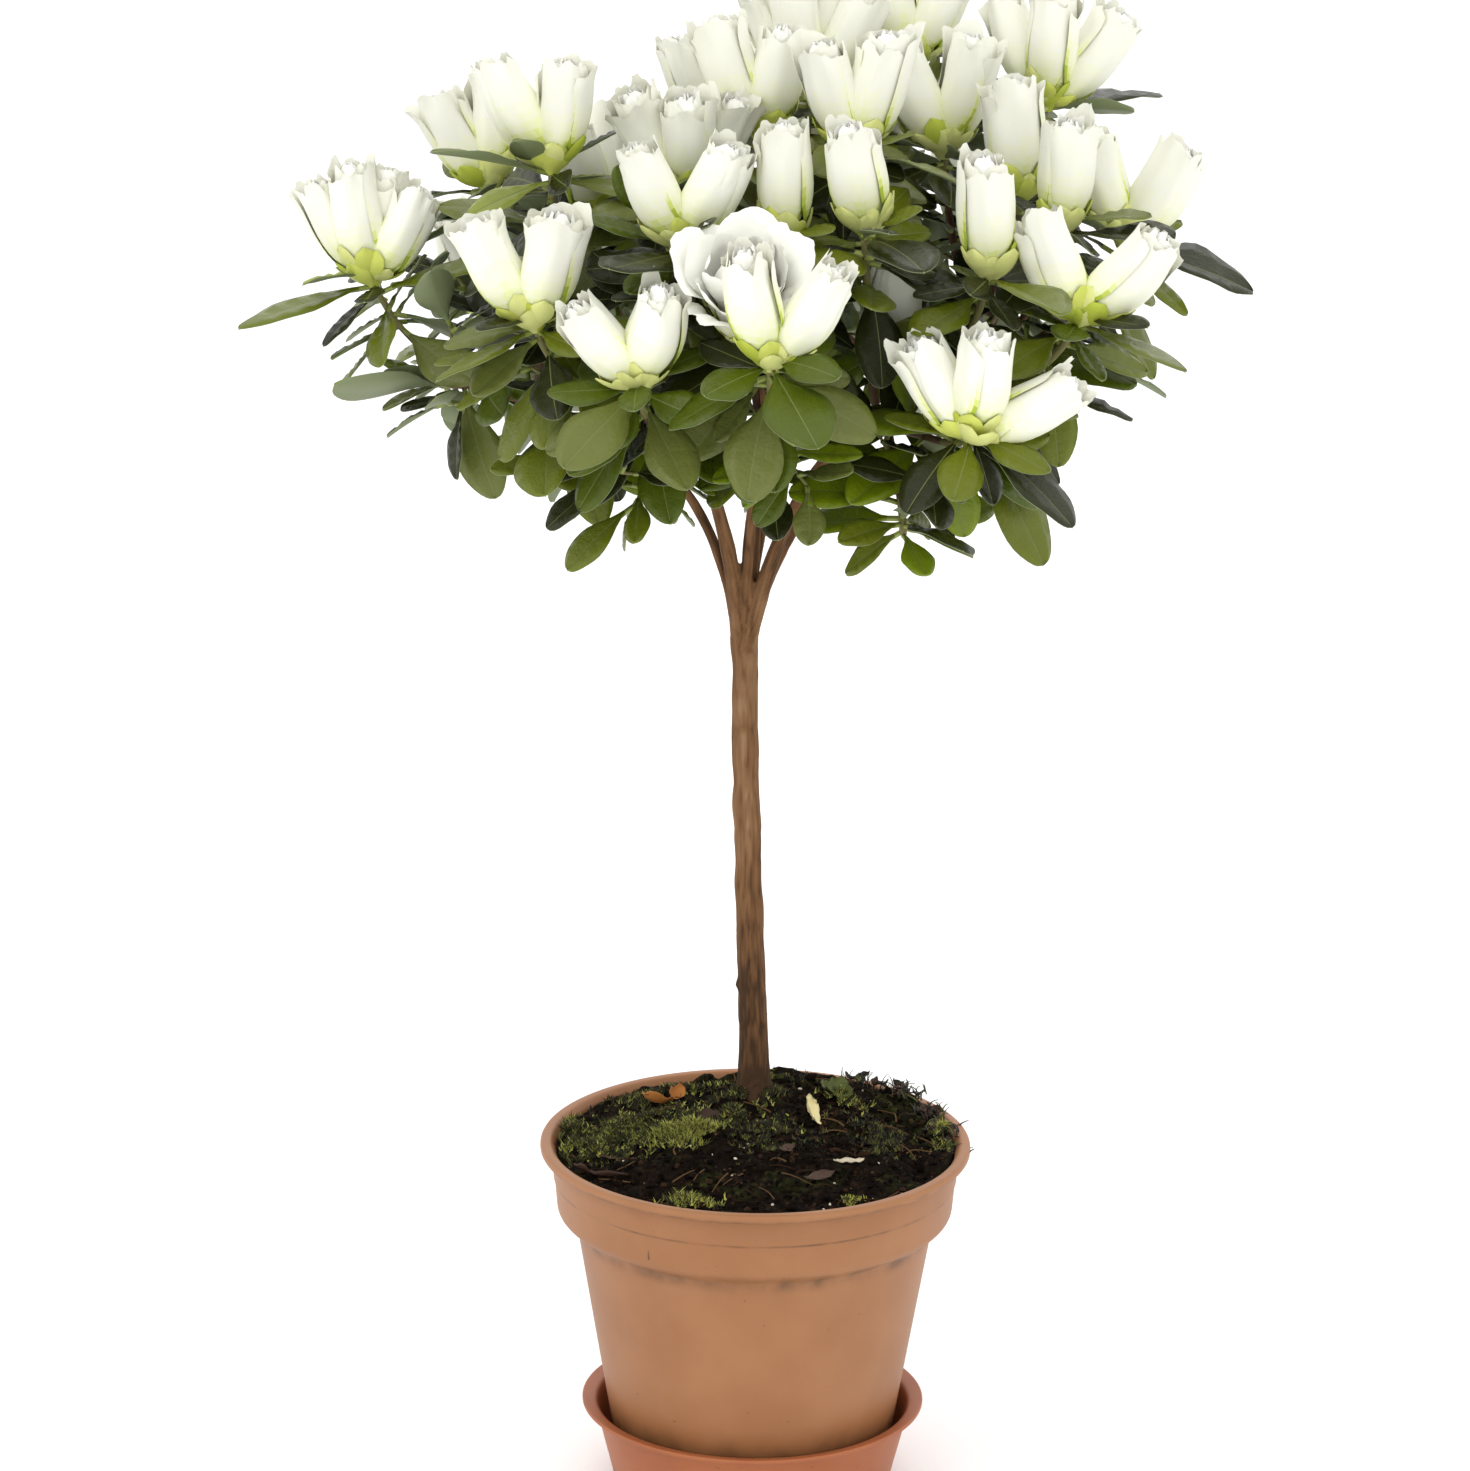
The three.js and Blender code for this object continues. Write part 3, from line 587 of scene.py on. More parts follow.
def make_pot():
    height, floor, lip = POT.height, POT.floor, POT.lip
    middle = (POT.collar_top + POT.collar_bottom) / 2
    profile = [
        (0, 0), (POT.base - POT.foot_inset, 0), (POT.base, POT.foot_height, 2),
        (POT.body_top, height - POT.shoulder_depth, 1.6),
        (POT.collar_bottom, height - POT.collar_depth, 2.2),
        (middle, height - POT.step_depth - POT.step, 0.3),
        (middle + POT.step, height - POT.step_depth, 0.3),
        (POT.collar_top, height - lip, 0.5), (POT.rim, height - lip, 1.2),
        (POT.rim, height, 1.4), (POT.rim_inside, height, 1.0),
    ]
    depths = (height - lip, height - POT.collar_depth, height - POT.shoulder_depth, floor)
    profile += [(pot_inside(at), at, 1.5) for at in depths] + [(0, floor)]
    # Darker bands: painted shade beneath the lip, with some dirt; painted shade in the step and under the
    # collar; and darker towards the bottom.
    darkened_bands = [(RIM_Z - lip, 1.6), (RIM_Z - POT.step_depth - POT.step, 0.8),
              (RIM_Z - POT.shoulder_depth, 5), (POT_Z + 16, 18)]
    clay = terracotta("pot_clay", (156, 107, 69), (148, 99, 61), (94, 65, 40), darkened_bands)
    piece = Piece("pot_shell", [clay, material("pot_mark", (112, 74, 46), 0.6, (0.7, 0.02))])
    lathe(piece, rounded(profile) + [0, POT_Z])
    ends = (around(POT.collar_bottom + MARK.proud, MARK.angle, at) for at in (MARK.low, MARK.high))
    piece.add_tube(tube(Curve(*ends), lambda _: MARK.radius, 6, 4), 1)
    piece.made(["pot"], "pot")


def make_saucer():
    height, floor, top = SAUCER.height, SAUCER.floor, SAUCER.top
    base, wall, lip, lip_radius = SAUCER.base, SAUCER.wall, SAUCER.lip, SAUCER.lip_radius
    profile = [
        (0, 0), (base - SAUCER.foot, 0), (base, SAUCER.foot, 1),
        (top, height - lip - SAUCER.flare, 2), (lip_radius, height - lip, 1.2), (lip_radius, height, 1),
        (top - wall + SAUCER.lip_run, height - SAUCER.lip_dip, 1.5),
        (top - wall, height - lip - SAUCER.throat, 2), (base - wall, floor, 3), (0, floor),
    ]
    # The saucer is darker in a band near its foot.
    clay = terracotta("saucer_clay", (163, 95, 55), (154, 87, 49), (94, 58, 34), [(4, 3)])
    piece = Piece("saucer_shell", [clay])
    lathe(piece, rounded(profile))
    piece.made(["saucer"], "saucer")


# The rule of growth, as in the source.
def bough_curve(mass):
    angle = math.radians(mass["tip"][0])
    root = FOOT - [TRUNK[-1, 1], 0, 0]
    root = root + around(BOUGH.root_offset, angle, mass["fork"] - BOUGH.root_drop)
    end = in_crown(*mass["tip"])
    return Curve(root, mix(root, end, mass.get("bend", BOUGH.bend)), end)


def shoots_of(mass, random):
    if "shoots" in mass:
        return [dict(each, face=270) for each in mass["shoots"]]
    heading, top = mass["fan"]
    shoots = []
    for off, out in FAN:
        out_now = out + DOME.out_sway * swayed(random)
        up = top - DOME.fall * out * out + DOME.up_sway * swayed(random)
        leans = FAN_LEANS[int(len(FAN_LEANS) * random())]
        shoots.append(shoot(heading + off, out_now, up, leans, face=heading + off))
    return shoots


def tip_of(each):
    return in_crown(each["turn"], each["out"], each["up"])


def twig_to(start, end, each):
    return dict(curve=Curve(start, mix(start, end, TWIG.bend), end), steps=TWIG.steps, shoot=each)


def point_in(twig, share):
    """A point in a limb that runs straight from step to step."""
    steps, curve = twig["steps"], twig["curve"]
    step = min(int(share * steps), steps - 1)
    return mix(curve.at(step / steps), curve.at((step + 1) / steps), share * steps - step)


def twigs_of(mass, random):
    """The leading twig, the twigs that fork from it, and side shoots low on those that reach out."""
    bough = bough_curve(mass)
    onward = bough.tangent(1)
    start = bough.point(1) + onward * GAP
    leader, *others = shoots_of(mass, random)
    end = tip_of(leader)
    bend = start + onward * np.linalg.norm(end - start) / 3
    stem = Curve(start, bend, mix(start, end, TWIG.bend), end)
    twigs = [dict(curve=stem, steps=STEM.steps, shoot=leader)]
    for i, each in enumerate(others):
        origin = point_in(twigs[0], mix(STEM.branch_from, STEM.branch_to, i / len(others)))
        twigs.append(twig_to(origin, tip_of(each), each))
    for twig in [t for t in twigs if t["shoot"]["out"] >= SIDE_SHOOT.least_out]:
        each = twig["shoot"]
        turn = each["turn"] + SIDE_SHOOT.sway * swayed(random)
        place = in_crown(turn, each["out"] * SIDE_SHOOT.out_ratio, each["up"] - SIDE_SHOOT.drop)
        twigs.append(twig_to(point_in(twig, SIDE_SHOOT.start), place, None))
    return twigs


def blooms_of(twig, random):
    each = twig["shoot"]
    if not each:
        return []
    outward = around(1.0, math.radians(each["face"]), 0.0)
    across = np.cross(UP, outward)

    def leaning_by(lean, tilt):
        return swung(swung(UP, outward, math.radians(tilt)), across, math.radians(lean))

    last = len(each["leans"]) - 1
    crowded = BLOOM.belly - BLOOM.crowding * len(each["leans"])
    mouth = each.get("mouth", crowded * BLOOM.mouth_ratio)
    blooms = []
    for i, lean in enumerate(each["leans"]):
        outwards = BLOOM.tilt * math.cos(math.radians(each["turn"] - each["face"]))
        tilt = each.get("tilt", outwards) + BLOOM.sway * swayed(random)
        side = 2 * i / last - 1 if last else 0
        depth = BLOOM.depth_splay * (1 if i % 2 else -1) if last > 1 else 0
        blooms.append(dict(
            root=twig["curve"].point(1), foot=leaning_by(lean + BLOOM.splay * side, tilt + depth),
            direction=leaning_by(lean, tilt), mouth=mouth, belly=max(crowded, mouth * BLOOM.open_belly),
            length=BLOOM.length + BLOOM.more * random(), spin=360 / BLOOM.sides * random(),
        ))
    return blooms


def bloom_shape(bloom, grow=0.0):
    """The source's plain shape of a flower, to test what touches it."""
    sides, length, direction = BLOOM.sides, bloom["length"], bloom["direction"]
    belly = bloom["root"] + bloom["foot"] * length * BLOOM.belly_at
    spokes = swung(*square_to(direction, RIGHT), math.radians(bloom["spin"]) + ring_of(sides))
    odd = np.arange(sides) % 2
    heights = length * (np.where(odd, 1, BLOOM.mouth_dip) - BLOOM.belly_at)
    wide = bloom["mouth"] + BLOOM.ragged * odd + grow
    mouth = belly + spokes * wide[:, None] + np.outer(heights, direction)
    apex = bloom["root"] - bloom["foot"] * BLOOM.sunk
    inside = belly + direction * (length * (BLOOM.cup - BLOOM.belly_at) + grow)
    faces = []
    for j in range(sides):
        a, b = 1 + j, 1 + (j + 1) % sides
        faces += [(0, b, a), (a, b, b + sides), (a, b + sides, a + sides),
                  (a + sides, b + sides, 2 * sides + 1)]
    return np.vstack([apex, belly + spokes * (bloom["belly"] + grow), mouth, inside]), faces


def leaves_of(twig, random):
    curve = twig["curve"]
    first_turn = WHORL.turn_sway * swayed(random)

    def leaf_on(root, axis, index, angle):
        return dict(
            root=root, axis=axis, turn=first_turn + index * GOLDEN_TURN, angle=angle,
            length=LEAF.length + LEAF.more * random() + WHORL.outer_more * (index == 0),
            droop=LEAF.droop + LEAF.droop_more * random(), roll=LEAF.roll * swayed(random),
        )

    leaves = []
    count = WHORL.leaves if twig["shoot"] else SIDE_SHOOT.leaves
    for i in range(count):
        root = point_in(twig, max(0, 1 - (WHORL.below + i * WHORL.spacing) / curve.length))
        angle = mix(WHORL.first, WHORL.last, i / (count - 1)) + WHORL.sway * swayed(random)
        leaves.append(leaf_on(root, curve.tangent(1), i, angle))
    if not twig["shoot"] or curve.length < SIDE_LEAVES.least_reach:
        return leaves
    for i in range(SIDE_LEAVES.count):
        share = mix(SIDE_LEAVES.start, SIDE_LEAVES.end, i / SIDE_LEAVES.count)
        leaves.append(leaf_on(point_in(twig, share), curve.tangent(share), i + 0.5, SIDE_LEAVES.angle))
    return leaves


def leaf_axes(leaf, shift):
    direction = leaning(leaf["axis"], leaf["root"], leaf["turn"] + shift, leaf["angle"])
    above, side = square_to(direction, UP + LEAF.face_out * outward_at(leaf["root"]))
    roll = math.radians(leaf["roll"])
    return direction, swung(above, side, roll), swung(side, -above, roll)


def leaf_shape(leaf, shift, grow=0.0, start=0.0):
    """The source's plain shape of a leaf, to test what it would touch."""
    direction, above, side = leaf_axes(leaf, shift)
    length = leaf["length"]

    def at(along, across, lift):
        bow = lift - leaf["droop"] * along * along / length
        return leaf["root"] + direction * along + side * across + above * bow

    half = length * LEAF.width / 2 + grow
    thick = LEAF.thick / 2 + grow
    broad = LEAF.broadest * length
    ridge = max(LEAF.thickest * length, start + LEAF.ridge_after)
    points = [at(start, 0, 0), at(broad, -half, 0), at(length + grow, 0, 0), at(broad, half, 0),
              at(ridge, 0, thick), at(ridge, 0, -thick)]
    faces = [f for i in range(4) for f in ((i, 4, (i + 1) % 4), (i, (i + 1) % 4, 5))]
    return np.array(points), faces


def tube_shape(rings):
    """The plain shape of a limb, open at its ends, to test what touches it."""
    return rings.reshape(-1, 3), grid_faces(*rings.shape[:2]).tolist()


class Crowd:
    """The plain shapes placed so far, to tell what a new one would touch."""

    def __init__(self):
        self.boxes, self.trees, self.owners = [], [], []

    def add(self, shape, owner):
        points, faces = shape
        self.boxes.append(np.concatenate([points.min(0), -points.max(0)]))
        self.trees.append(BVHTree.FromPolygons(points.tolist(), faces))
        self.owners.append(owner)

    def touched(self, shape, wanted=lambda owner: True):
        """Whether the shape touches one of those whose owner is wanted."""
        points, faces = shape
        reach = np.concatenate([points.max(0), -points.min(0)])
        near = np.flatnonzero((np.array(self.boxes) <= reach).all(1))
        near = [k for k in near if wanted(self.owners[k])]
        if not near:
            return False
        tree = BVHTree.FromPolygons(points.tolist(), faces)
        return any(tree.overlap(self.trees[k]) for k in near)


def twig_rings(twig, mass, index, sides=None, steps=None):
    start, end, coarse = TWIG.radius, TWIG.tip_radius, TWIG.sides
    if index == 0:
        start = mass["radius"] * BOUGH.tip_ratio * STEM.start_ratio
        end, coarse = STEM.tip_radius, STEM.sides
    radius_at = lambda share: mix(start, end, share)
    return tube(twig["curve"], radius_at, sides or coarse, steps or twig["steps"], float(index))


def grow_masses():
    """All twigs, then the flowers, then the leaves, each kept clear of the rest."""
    crowd = Crowd()
    for name in LIMBS:
        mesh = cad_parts[name].data
        points = np.array([v.co for v in mesh.vertices]) / MM
        crowd.add((points, [tuple(f.vertices) for f in mesh.polygons]), "limb")
    grown = []
    for i, mass in enumerate(MASSES):
        twigs = twigs_of(mass, random_source(SEEDS.masses + i))
        grown.append(dict(mass=mass, twigs=twigs, blooms=[], leaves=[], fine=[]))
        for k, twig in enumerate(twigs):
            twig["random"] = random_source(SEEDS.twigs + SEEDS.twigs_each * i + k)
            crowd.add(tube_shape(twig_rings(twig, mass, k)), i)
    for i, own in enumerate(grown):
        for twig in own["twigs"]:
            for bloom in blooms_of(twig, twig["random"]):
                if not crowd.touched(bloom_shape(bloom, LEAF.clear), lambda o: o != i):
                    crowd.add(bloom_shape(bloom), i)
                    own["blooms"].append(bloom)
    for i, own in enumerate(grown):
        for k, twig in enumerate(own["twigs"]):
            for leaf in leaves_of(twig, twig["random"]):
                add_leaf(crowd, own, i, leaf, k)
    return crowd, grown


def add_leaf(crowd, own, owner, leaf, spray):
    """Adds the leaf at the first of its turns that is free, and tells whether one was."""
    for shift in SHIFTS:
        crossed = crowd.touched(leaf_shape(leaf, shift, 0, LEAF.footing), lambda o: o == owner)
        if not crossed and not crowd.touched(leaf_shape(leaf, shift, LEAF.clear), lambda o: o != owner):
            crowd.add(leaf_shape(leaf, shift), owner)
            direction, above, side = leaf_axes(leaf, shift)
            own["leaves"].append(dict(leaf, direction=direction, above=above, side=side, spray=spray))
            return True
    return False


# Leaves as they look: stalk, rib and side veins, pillowed between the veins, paler beneath.
# The dark tone is partly the leaves' own and partly painted shade; the grey tone is painted sheen, a
# greyer copy of the leaf green.
LEAF_TONES = [
    ("leaf_dark", 36, 40, 6), ("leaf_grey_sheen", 98, 105, 46), ("leaf_green", 72, 86, 5),
    ("leaf_olive", 94, 103, 14), ("leaf_fresh", 107, 124, 8), ("leaf_pale", 142, 152, 66),
]
UNDER_TONES = [
    ("leaf_under", 120, 130, 92), ("leaf_rib", 106, 116, 62), ("leaf_stalk", 142, 152, 76),
]
UNDER, RIB, STALK = range(len(LEAF_TONES), len(LEAF_TONES) + 3)
BLADE = Sizes(
    stalk=0.13, stalk_half=0.6, thickness=0.45, rib=0.22, shear=0.11, vein_half=0.005, pillow=0.65,
    veins=4, first_vein=0.16, vein_spacing=0.18, tip_rows=(0.88, 0.94, 0.975, 1), least_half=0.12,
)
# The places of a leaf's columns across its upper side, those of them that its underside takes up
# again, and the faces that close its ends.
COLUMNS = (-1, -0.55, -1e-3, 1e-3, 0.55, 1)
UNDER_COLUMNS = [5, 3, 2, 0]
CAPS = np.array([[0, 9, 8, 1], [1, 8, 3, 2], [3, 8, 7, 4], [4, 7, 6, 5]])
# The least and the greatest fold, roll, bend, twist, wave, phase and width of a leaf.
BLADE_SPREADS = [(0.05, 0.3), (0.08, 0.24), (-0.1, 0.1), (-0.35, 0.35), (0, 0.06), (0, TAU), (0.74, 0.96)]


def blade_rows():
    """For each row of a leaf: its place on the stalk, its place along the blade, and if on a vein."""
    places = (BLADE.first_vein + BLADE.vein_spacing * k for k in range(BLADE.veins))
    offsets = (-BLADE.vein_half, BLADE.vein_half, BLADE.vein_spacing / 2)
    middle = [at + offset for at in places for offset in offsets]
    rows = [0, 0, 0, 0.06, *middle, *BLADE.tip_rows]
    stalks = [0, 0.07] + [BLADE.stalk] * (len(rows) - 2)
    on_vein = [0] * 4 + [1, 1, 0] * BLADE.veins + [0] * len(BLADE.tip_rows)
    return (np.array(values, float)[None, :, None] for values in (stalks, rows, on_vein))


def gathered(items, key):
    """An array of the items' values, with a row and a column axis; vectors keep their last axis."""
    return np.array([item[key] for item in items], float)[:, None, None]


def add_blades(piece, leaves, seed):
    """Adds every leaf to the piece."""
    random = np.random.default_rng(seed)
    count = len(leaves)
    fold, roll, bend, twist, wave, phase, width = (
        random.uniform(*limits, count)[:, None, None] for limits in BLADE_SPREADS
    )
    root, direction, side_way, above, length, droop, tones = (
        gathered(leaves, key) for key in ("root", "direction", "side", "above", "length", "droop", "tone")
    )
    stalks, rows, on_vein = blade_rows()
    sides = np.array(COLUMNS)[None, None, :]
    outer = np.abs(sides)
    along_blade = rows + BLADE.shear * outer**1.3 * 4 * rows * (1 - rows)
    full = length * LEAF.width / 2 * width
    shape = np.maximum(np.sin(np.pi * along_blade**1.3), 0) ** (1.08 - 0.55 * along_blade)
    half = full * shape + BLADE.stalk_half * (1 - smooth_step(0, 0.25, along_blade)) + BLADE.least_half
    rib = np.minimum(BLADE.rib * (1 - 0.5 * rows) / half, 0.2)
    sides = np.where(outer < 0.01, np.sign(sides) * rib, sides)
    outer = np.abs(sides)
    along = length * (stalks + (1 - BLADE.stalk) * along_blade)
    pillow = BLADE.pillow * (1 - on_vein) * (outer > 0.3) * (outer < 0.9)
    lift = half * (fold * outer - roll * outer**2 + wave * outer**2 * np.sin(TAU * 2 * rows + phase))
    lift = lift + pillow - 0.25 * (outer < 0.25) * np.sin(np.pi * rows)
    flat, high = turned(sides * half, lift, twist * rows)
    flat = flat + bend * along**2 / length
    high = high - droop * along**2 / length
    top = root + direction * along[..., None] + side_way * flat[..., None] + above * high[..., None]
    thickness = BLADE.thickness * (1 - 0.6 * outer**2) + 0.5 * (rows == 0)
    under = top - above * (thickness * np.ones_like(along))[..., None]
    rings = np.concatenate([top, under[:, :, UNDER_COLUMNS]], axis=2)
    row_count, columns = rings.shape[1:3]
    strip, place = np.divmod(np.arange((row_count - 1) * columns), columns)
    slots = np.where(place >= top.shape[2] - 1, UNDER, np.where(place == 2, RIB, tones[:, 0]))
    slots = np.where(strip < 2, STALK, slots)
    slots = np.concatenate([slots, np.full((count, 2 * len(CAPS)), STALK)], axis=1)
    piece.add_each(rings, capped(row_count, columns, CAPS), slots)


# Flowers as they look: whorls of overlapping petals with folds and ragged tips, in lime scales.
WHORLS = [
    # petals, distance from the middle, least and greatest height, half the width in degrees, and
    # how far the tips draw together
    (3, 1.0, 0.9, 1.04, 74, 0.0),
    (3, 0.87, 0.95, 1.03, 72, 0.15),
    (3, 0.77, 0.99, 1.03, 74, 0.4),
    (3, 0.66, 1.0, 1.03, 80, 0.68),
    (3, 0.46, 1.01, 1.04, 86, 0.9),
]
OPEN_WHORLS = [
    (5, 0.98, 0.82, 1.04, 42, -0.04),
    (5, 0.85, 0.95, 1.08, 44, 0.08),
    (4, 0.68, 1.0, 1.12, 54, 0.3),
    (3, 0.5, 1.04, 1.14, 70, 0.6),
    (3, 0.3, 1.06, 1.14, 80, 0.85),
]
OPEN_MOUTH = 15
# Pairs are the least and the greatest of what is drawn for a flower or a petal.
PETAL = Sizes(
    belly=(0.78, 0.92), mouth=(0.66, 1.0), open_mouth=0.96, whorl_turn=55, sway=(-18, 18),
    width=(0.86, 1.1), evert=(-0.5, 2.8), lobes=(0.6, 1.2), depth=(0.06, 0.13), shade=(-0.06, 0.07),
    keys=(0, 900), base=0.015, inner_base=0.5, open_base=0.3, least_radius=0.4, outer_whorls=2,
    outer_grid=(13, 17), inner_grid=(8, 13),
)
PETALS = [
    # the height from which a colour shows, its name, and the colour
    (0, "petal_lime", 168, 186, 60),
    (0.08, "petal_lime_pale", 190, 204, 88),
    (0.12, "petal_yellow", 205, 216, 118),
    (0.16, "petal_cream", 218, 225, 148),
    (0.21, "petal_cream_pale", 227, 232, 172),
    (0.27, "petal_ivory", 231, 234, 192),
    (0.34, "petal_ivory_pale", 233, 235, 206),
    (0.43, "petal_milk", 234, 235, 214),
    (0.56, "petal_white", 234, 234, 221),
    # The bright tone is painted light: the inner whorls and the open flower take it, standing in for
    # light through the petals.
    (1.1, "petal_bright", 248, 248, 241),
]
SCALES = [
    ("scale_pale", 212, 216, 136), ("scale_lime", 198, 206, 98), ("scale_green", 178, 190, 70),
]
SCALE_SHARES = [0.5, 0.35, 0.15]
SCALE = Sizes(count=7, low=0.2, high=0.36, half=40, bulge=1.3, foot=0.04, rows=8, columns=5)
BUD = Sizes(length=38, belly=8.5, mouth=9, sunk=1.5)


def bloom_axis(blooms, t):
    """The line that a flower's middle follows; arrays of flowers, rows and columns."""
    bent = BLOOM.belly_at * (1 - (1 - np.minimum(t / (2 * BLOOM.belly_at), 1)) ** 2)
    along = blooms["direction"] * t[..., None] + (blooms["foot"] - blooms["direction"]) * bent[..., None]
    return blooms["root"] + blooms["length"][..., None] * along


def bloom_radius(blooms, t):
    low = 1 - np.clip(t / (BLOOM.belly_at * 1.1), 0, 1)
    rise = 0.2 + 0.8 * (1 - low**2) ** 0.8
    flare = smooth_step(BLOOM.belly_at * 1.2, 1.05, t)
    return blooms["belly"] * rise * (1 - flare) + blooms["mouth"] * flare


def petals_of(bloom, random):
    """A flower's petals, of which each holds the flower's values and its own."""
    is_open = bloom["mouth"] > OPEN_MOUTH
    if is_open:
        bloom["mouth"] *= PETAL.open_mouth
    else:
        bloom["belly"] *= random.uniform(*PETAL.belly)
        bloom["mouth"] = bloom["belly"] * random.uniform(*PETAL.mouth)
    petals = []
    inner_base = PETAL.open_base if is_open else PETAL.inner_base
    for k, (number, distance, low, high, half, close) in enumerate(OPEN_WHORLS if is_open else WHORLS):
        start = bloom["spin"] + PETAL.whorl_turn * k + random.uniform(*PETAL.sway)
        for j in range(number):
            petals.append(dict(
                bloom, angle=math.radians(start + 360 * j / number), distance=distance,
                height=random.uniform(low, high), close=close, whorl=k,
                half=math.radians(half * random.uniform(*PETAL.width)), point=0.08 + 0.1 * is_open,
                evert=random.uniform(*PETAL.evert) * 0.4**k + 2 * is_open * (k == 0),
                edge=random.choice((-1, 1)), lobes=random.uniform(*PETAL.lobes),
                depth=random.uniform(*PETAL.depth) * 0.45**k, ruffled=1.3 if is_open else 0.6**k,
                base=PETAL.base if k < PETAL.outer_whorls else inner_base,
                shade=random.uniform(*PETAL.shade), key=random.uniform(*PETAL.keys),
                # bright is painted light, lifting inner whorls and the open flower to the bright tone.
                bright=0.6 if is_open else 0.4 * (k > 1),
            ))
    return petals


def add_blooms(piece, own, seed):
    random = np.random.default_rng(seed)
    petals = [petal for bloom in own["blooms"] for petal in petals_of(bloom, random)]
    add_petals(piece, [p for p in petals if p["whorl"] < PETAL.outer_whorls], *PETAL.outer_grid)
    add_petals(piece, [p for p in petals if p["whorl"] >= PETAL.outer_whorls], *PETAL.inner_grid)
    add_scales(piece, own["blooms"], random)
    buds = []
    for twig in own["twigs"]:
        if twig["shoot"]:
            axis = twig["curve"].tangent(1)
            buds.append(dict(
                root=twig["curve"].point(1) - BUD.sunk * axis, foot=axis, direction=axis,
                length=BUD.length, belly=BUD.belly, mouth=BUD.mouth, spin=random.uniform(0, 60),
            ))
    add_scales(piece, buds, random)


def sheet_grid(items, rows, columns):
    """The items' values as arrays, the share of a sheet's length, and the place across it."""
    own = {key: gathered(items, key) for key in items[0]}
    return own, np.linspace(0, 1, rows)[None, :, None], np.linspace(-1, 1, columns)[None, None, :]


def add_sheets(piece, own, t, angle, radius, slots):
    """Thin sheets round the flowers."""
    spokes = swung(*square_to(own["direction"], RIGHT), angle)
    points = bloom_axis(own, t) + radius[..., None] * spokes
    piece.add_each(points, grid_faces(*radius.shape[1:], closed=False), slots)


def add_petals(piece, petals, rows, columns):
    own, share, side = sheet_grid(petals, rows, columns)
    share = share**1.15
    key = own["key"]
    uneven = noise(joined(side * 1.6 + key, key, key), 3)
    lobe = np.abs(np.sin(np.pi * (side * own["lobes"] + 0.4 * uneven + key))) ** 0.6
    frill = np.abs(np.sin(np.pi * (side * 3.1 + uneven + 2 * key)))
    end = own["height"] * (1 - own["point"] * np.abs(side) ** 2.2)
    end = end + own["depth"] * (lobe - 0.7 + 0.8 * uneven + 0.3 * frill)
    t = own["base"] + (end - own["base"]) * share
    width = own["half"] * (0.5 + 0.5 * smooth_step(0, 0.4, t)) * (1 - 0.12 * smooth_step(0.8, 1.02, t))
    crumple = noise(joined(side * 1.5 + key, t * 2.4, key), 5)
    ruffle = noise(joined(side * 3.2 + key, t * 5, key), 6)
    wrap = 0.09 * own["edge"] * side - 0.06 * side**2
    drawn = 1 - own["close"] * smooth_step(0.76, 1.04, t)
    radius = bloom_radius(own, t) * own["distance"] * (1 + wrap) * drawn
    radius = radius + share * own["ruffled"] * (0.8 * crumple + 1.2 * share**3 * ruffle)
    radius = radius + 0.3 * np.cos(TAU * 1.5 * side) * share + own["evert"] * share**5
    # The score picks each face's colour. Painted shade: the petals' edges and middle fold (crease) and
    # the folds that sink in (crumple) score lower and take limer tones. Painted light: bright lifts the
    # inner whorls and the open flower to the bright tone.
    crease = 0.42 * np.abs(side) ** 6 + 0.06 * np.exp(-((side / 0.2) ** 2))
    fine = noise(joined(side * 8 + key, t * 24, key), 7)
    score = t + own["shade"] - crease + 0.06 * crumple + 0.03 * fine + own["bright"] * (t > 0.5)
    score = (score[:, :-1, :-1] + score[:, 1:, 1:]) / 2
    slots = np.digitize(score.reshape(len(petals), -1), [each[0] for each in PETALS[1:]])
    add_sheets(piece, own, t, own["angle"] + side * width, np.maximum(radius, PETAL.least_radius), slots)


def add_scales(piece, buds, random):
    """The pale scales at the foot of each flower, and round the tip of each shoot."""
    scales = []
    for bud in buds:
        for j in range(SCALE.count):
            angle = math.radians(bud["spin"] + 360 * j / SCALE.count + random.uniform(-14, 14))
            scales.append(dict(
                bud, angle=angle, lift=random.uniform(0.1, 1.2),
                height=random.uniform(SCALE.low, SCALE.high), tint=random.choice(3, p=SCALE_SHARES),
            ))
    own, share, side = sheet_grid(scales, SCALE.rows, SCALE.columns)
    t = (-SCALE.foot + (own["height"] + SCALE.foot) * share) * np.ones_like(side)
    width = math.radians(SCALE.half) * np.clip(1 - share**2.6, 0.002, 1) ** 0.6
    radius = bloom_radius(own, np.maximum(t, 0)) * (1.03 - 0.06 * side**2)
    radius = radius + own["lift"] * (0.3 + share**3) + SCALE.bulge * np.sin(np.pi * share**0.8)
    add_sheets(piece, own, t, own["angle"] + side * width, radius, len(PETALS) + own["tint"])


# Finer twigs, carried on from the rule: short leafy side twigs where the crown has room inside.
FINE = Sizes(
    starts=(0.3, 0.48, 0.66, 0.82), lean=58, rise=0.35, length=14, more=12, radius=0.9, clear=2.5,
    leaves=6, spacing=2.2, tip_spacing=1.1, leaf=20, leaf_more=9, first=35, first_more=25, last=100,
)
# The shares of the leaf tones inside the crown, low in it and elsewhere.
# Inside the crown most leaves take the dark tone, as painted shade; the higher, outer leaves take the
# grey tone more often, as painted sheen.
INNER_SHARES = [0.6, 0.12, 0.2, 0.08, 0, 0]
LOW_SHARES = [0.1, 0.1, 0.28, 0.18, 0.32, 0.02]
OUTER_SHARES = [0.3, 0.3, 0.16, 0.2, 0.02, 0.02]
LOW_CROWN = 385
ODD_LEAVES = 0.3


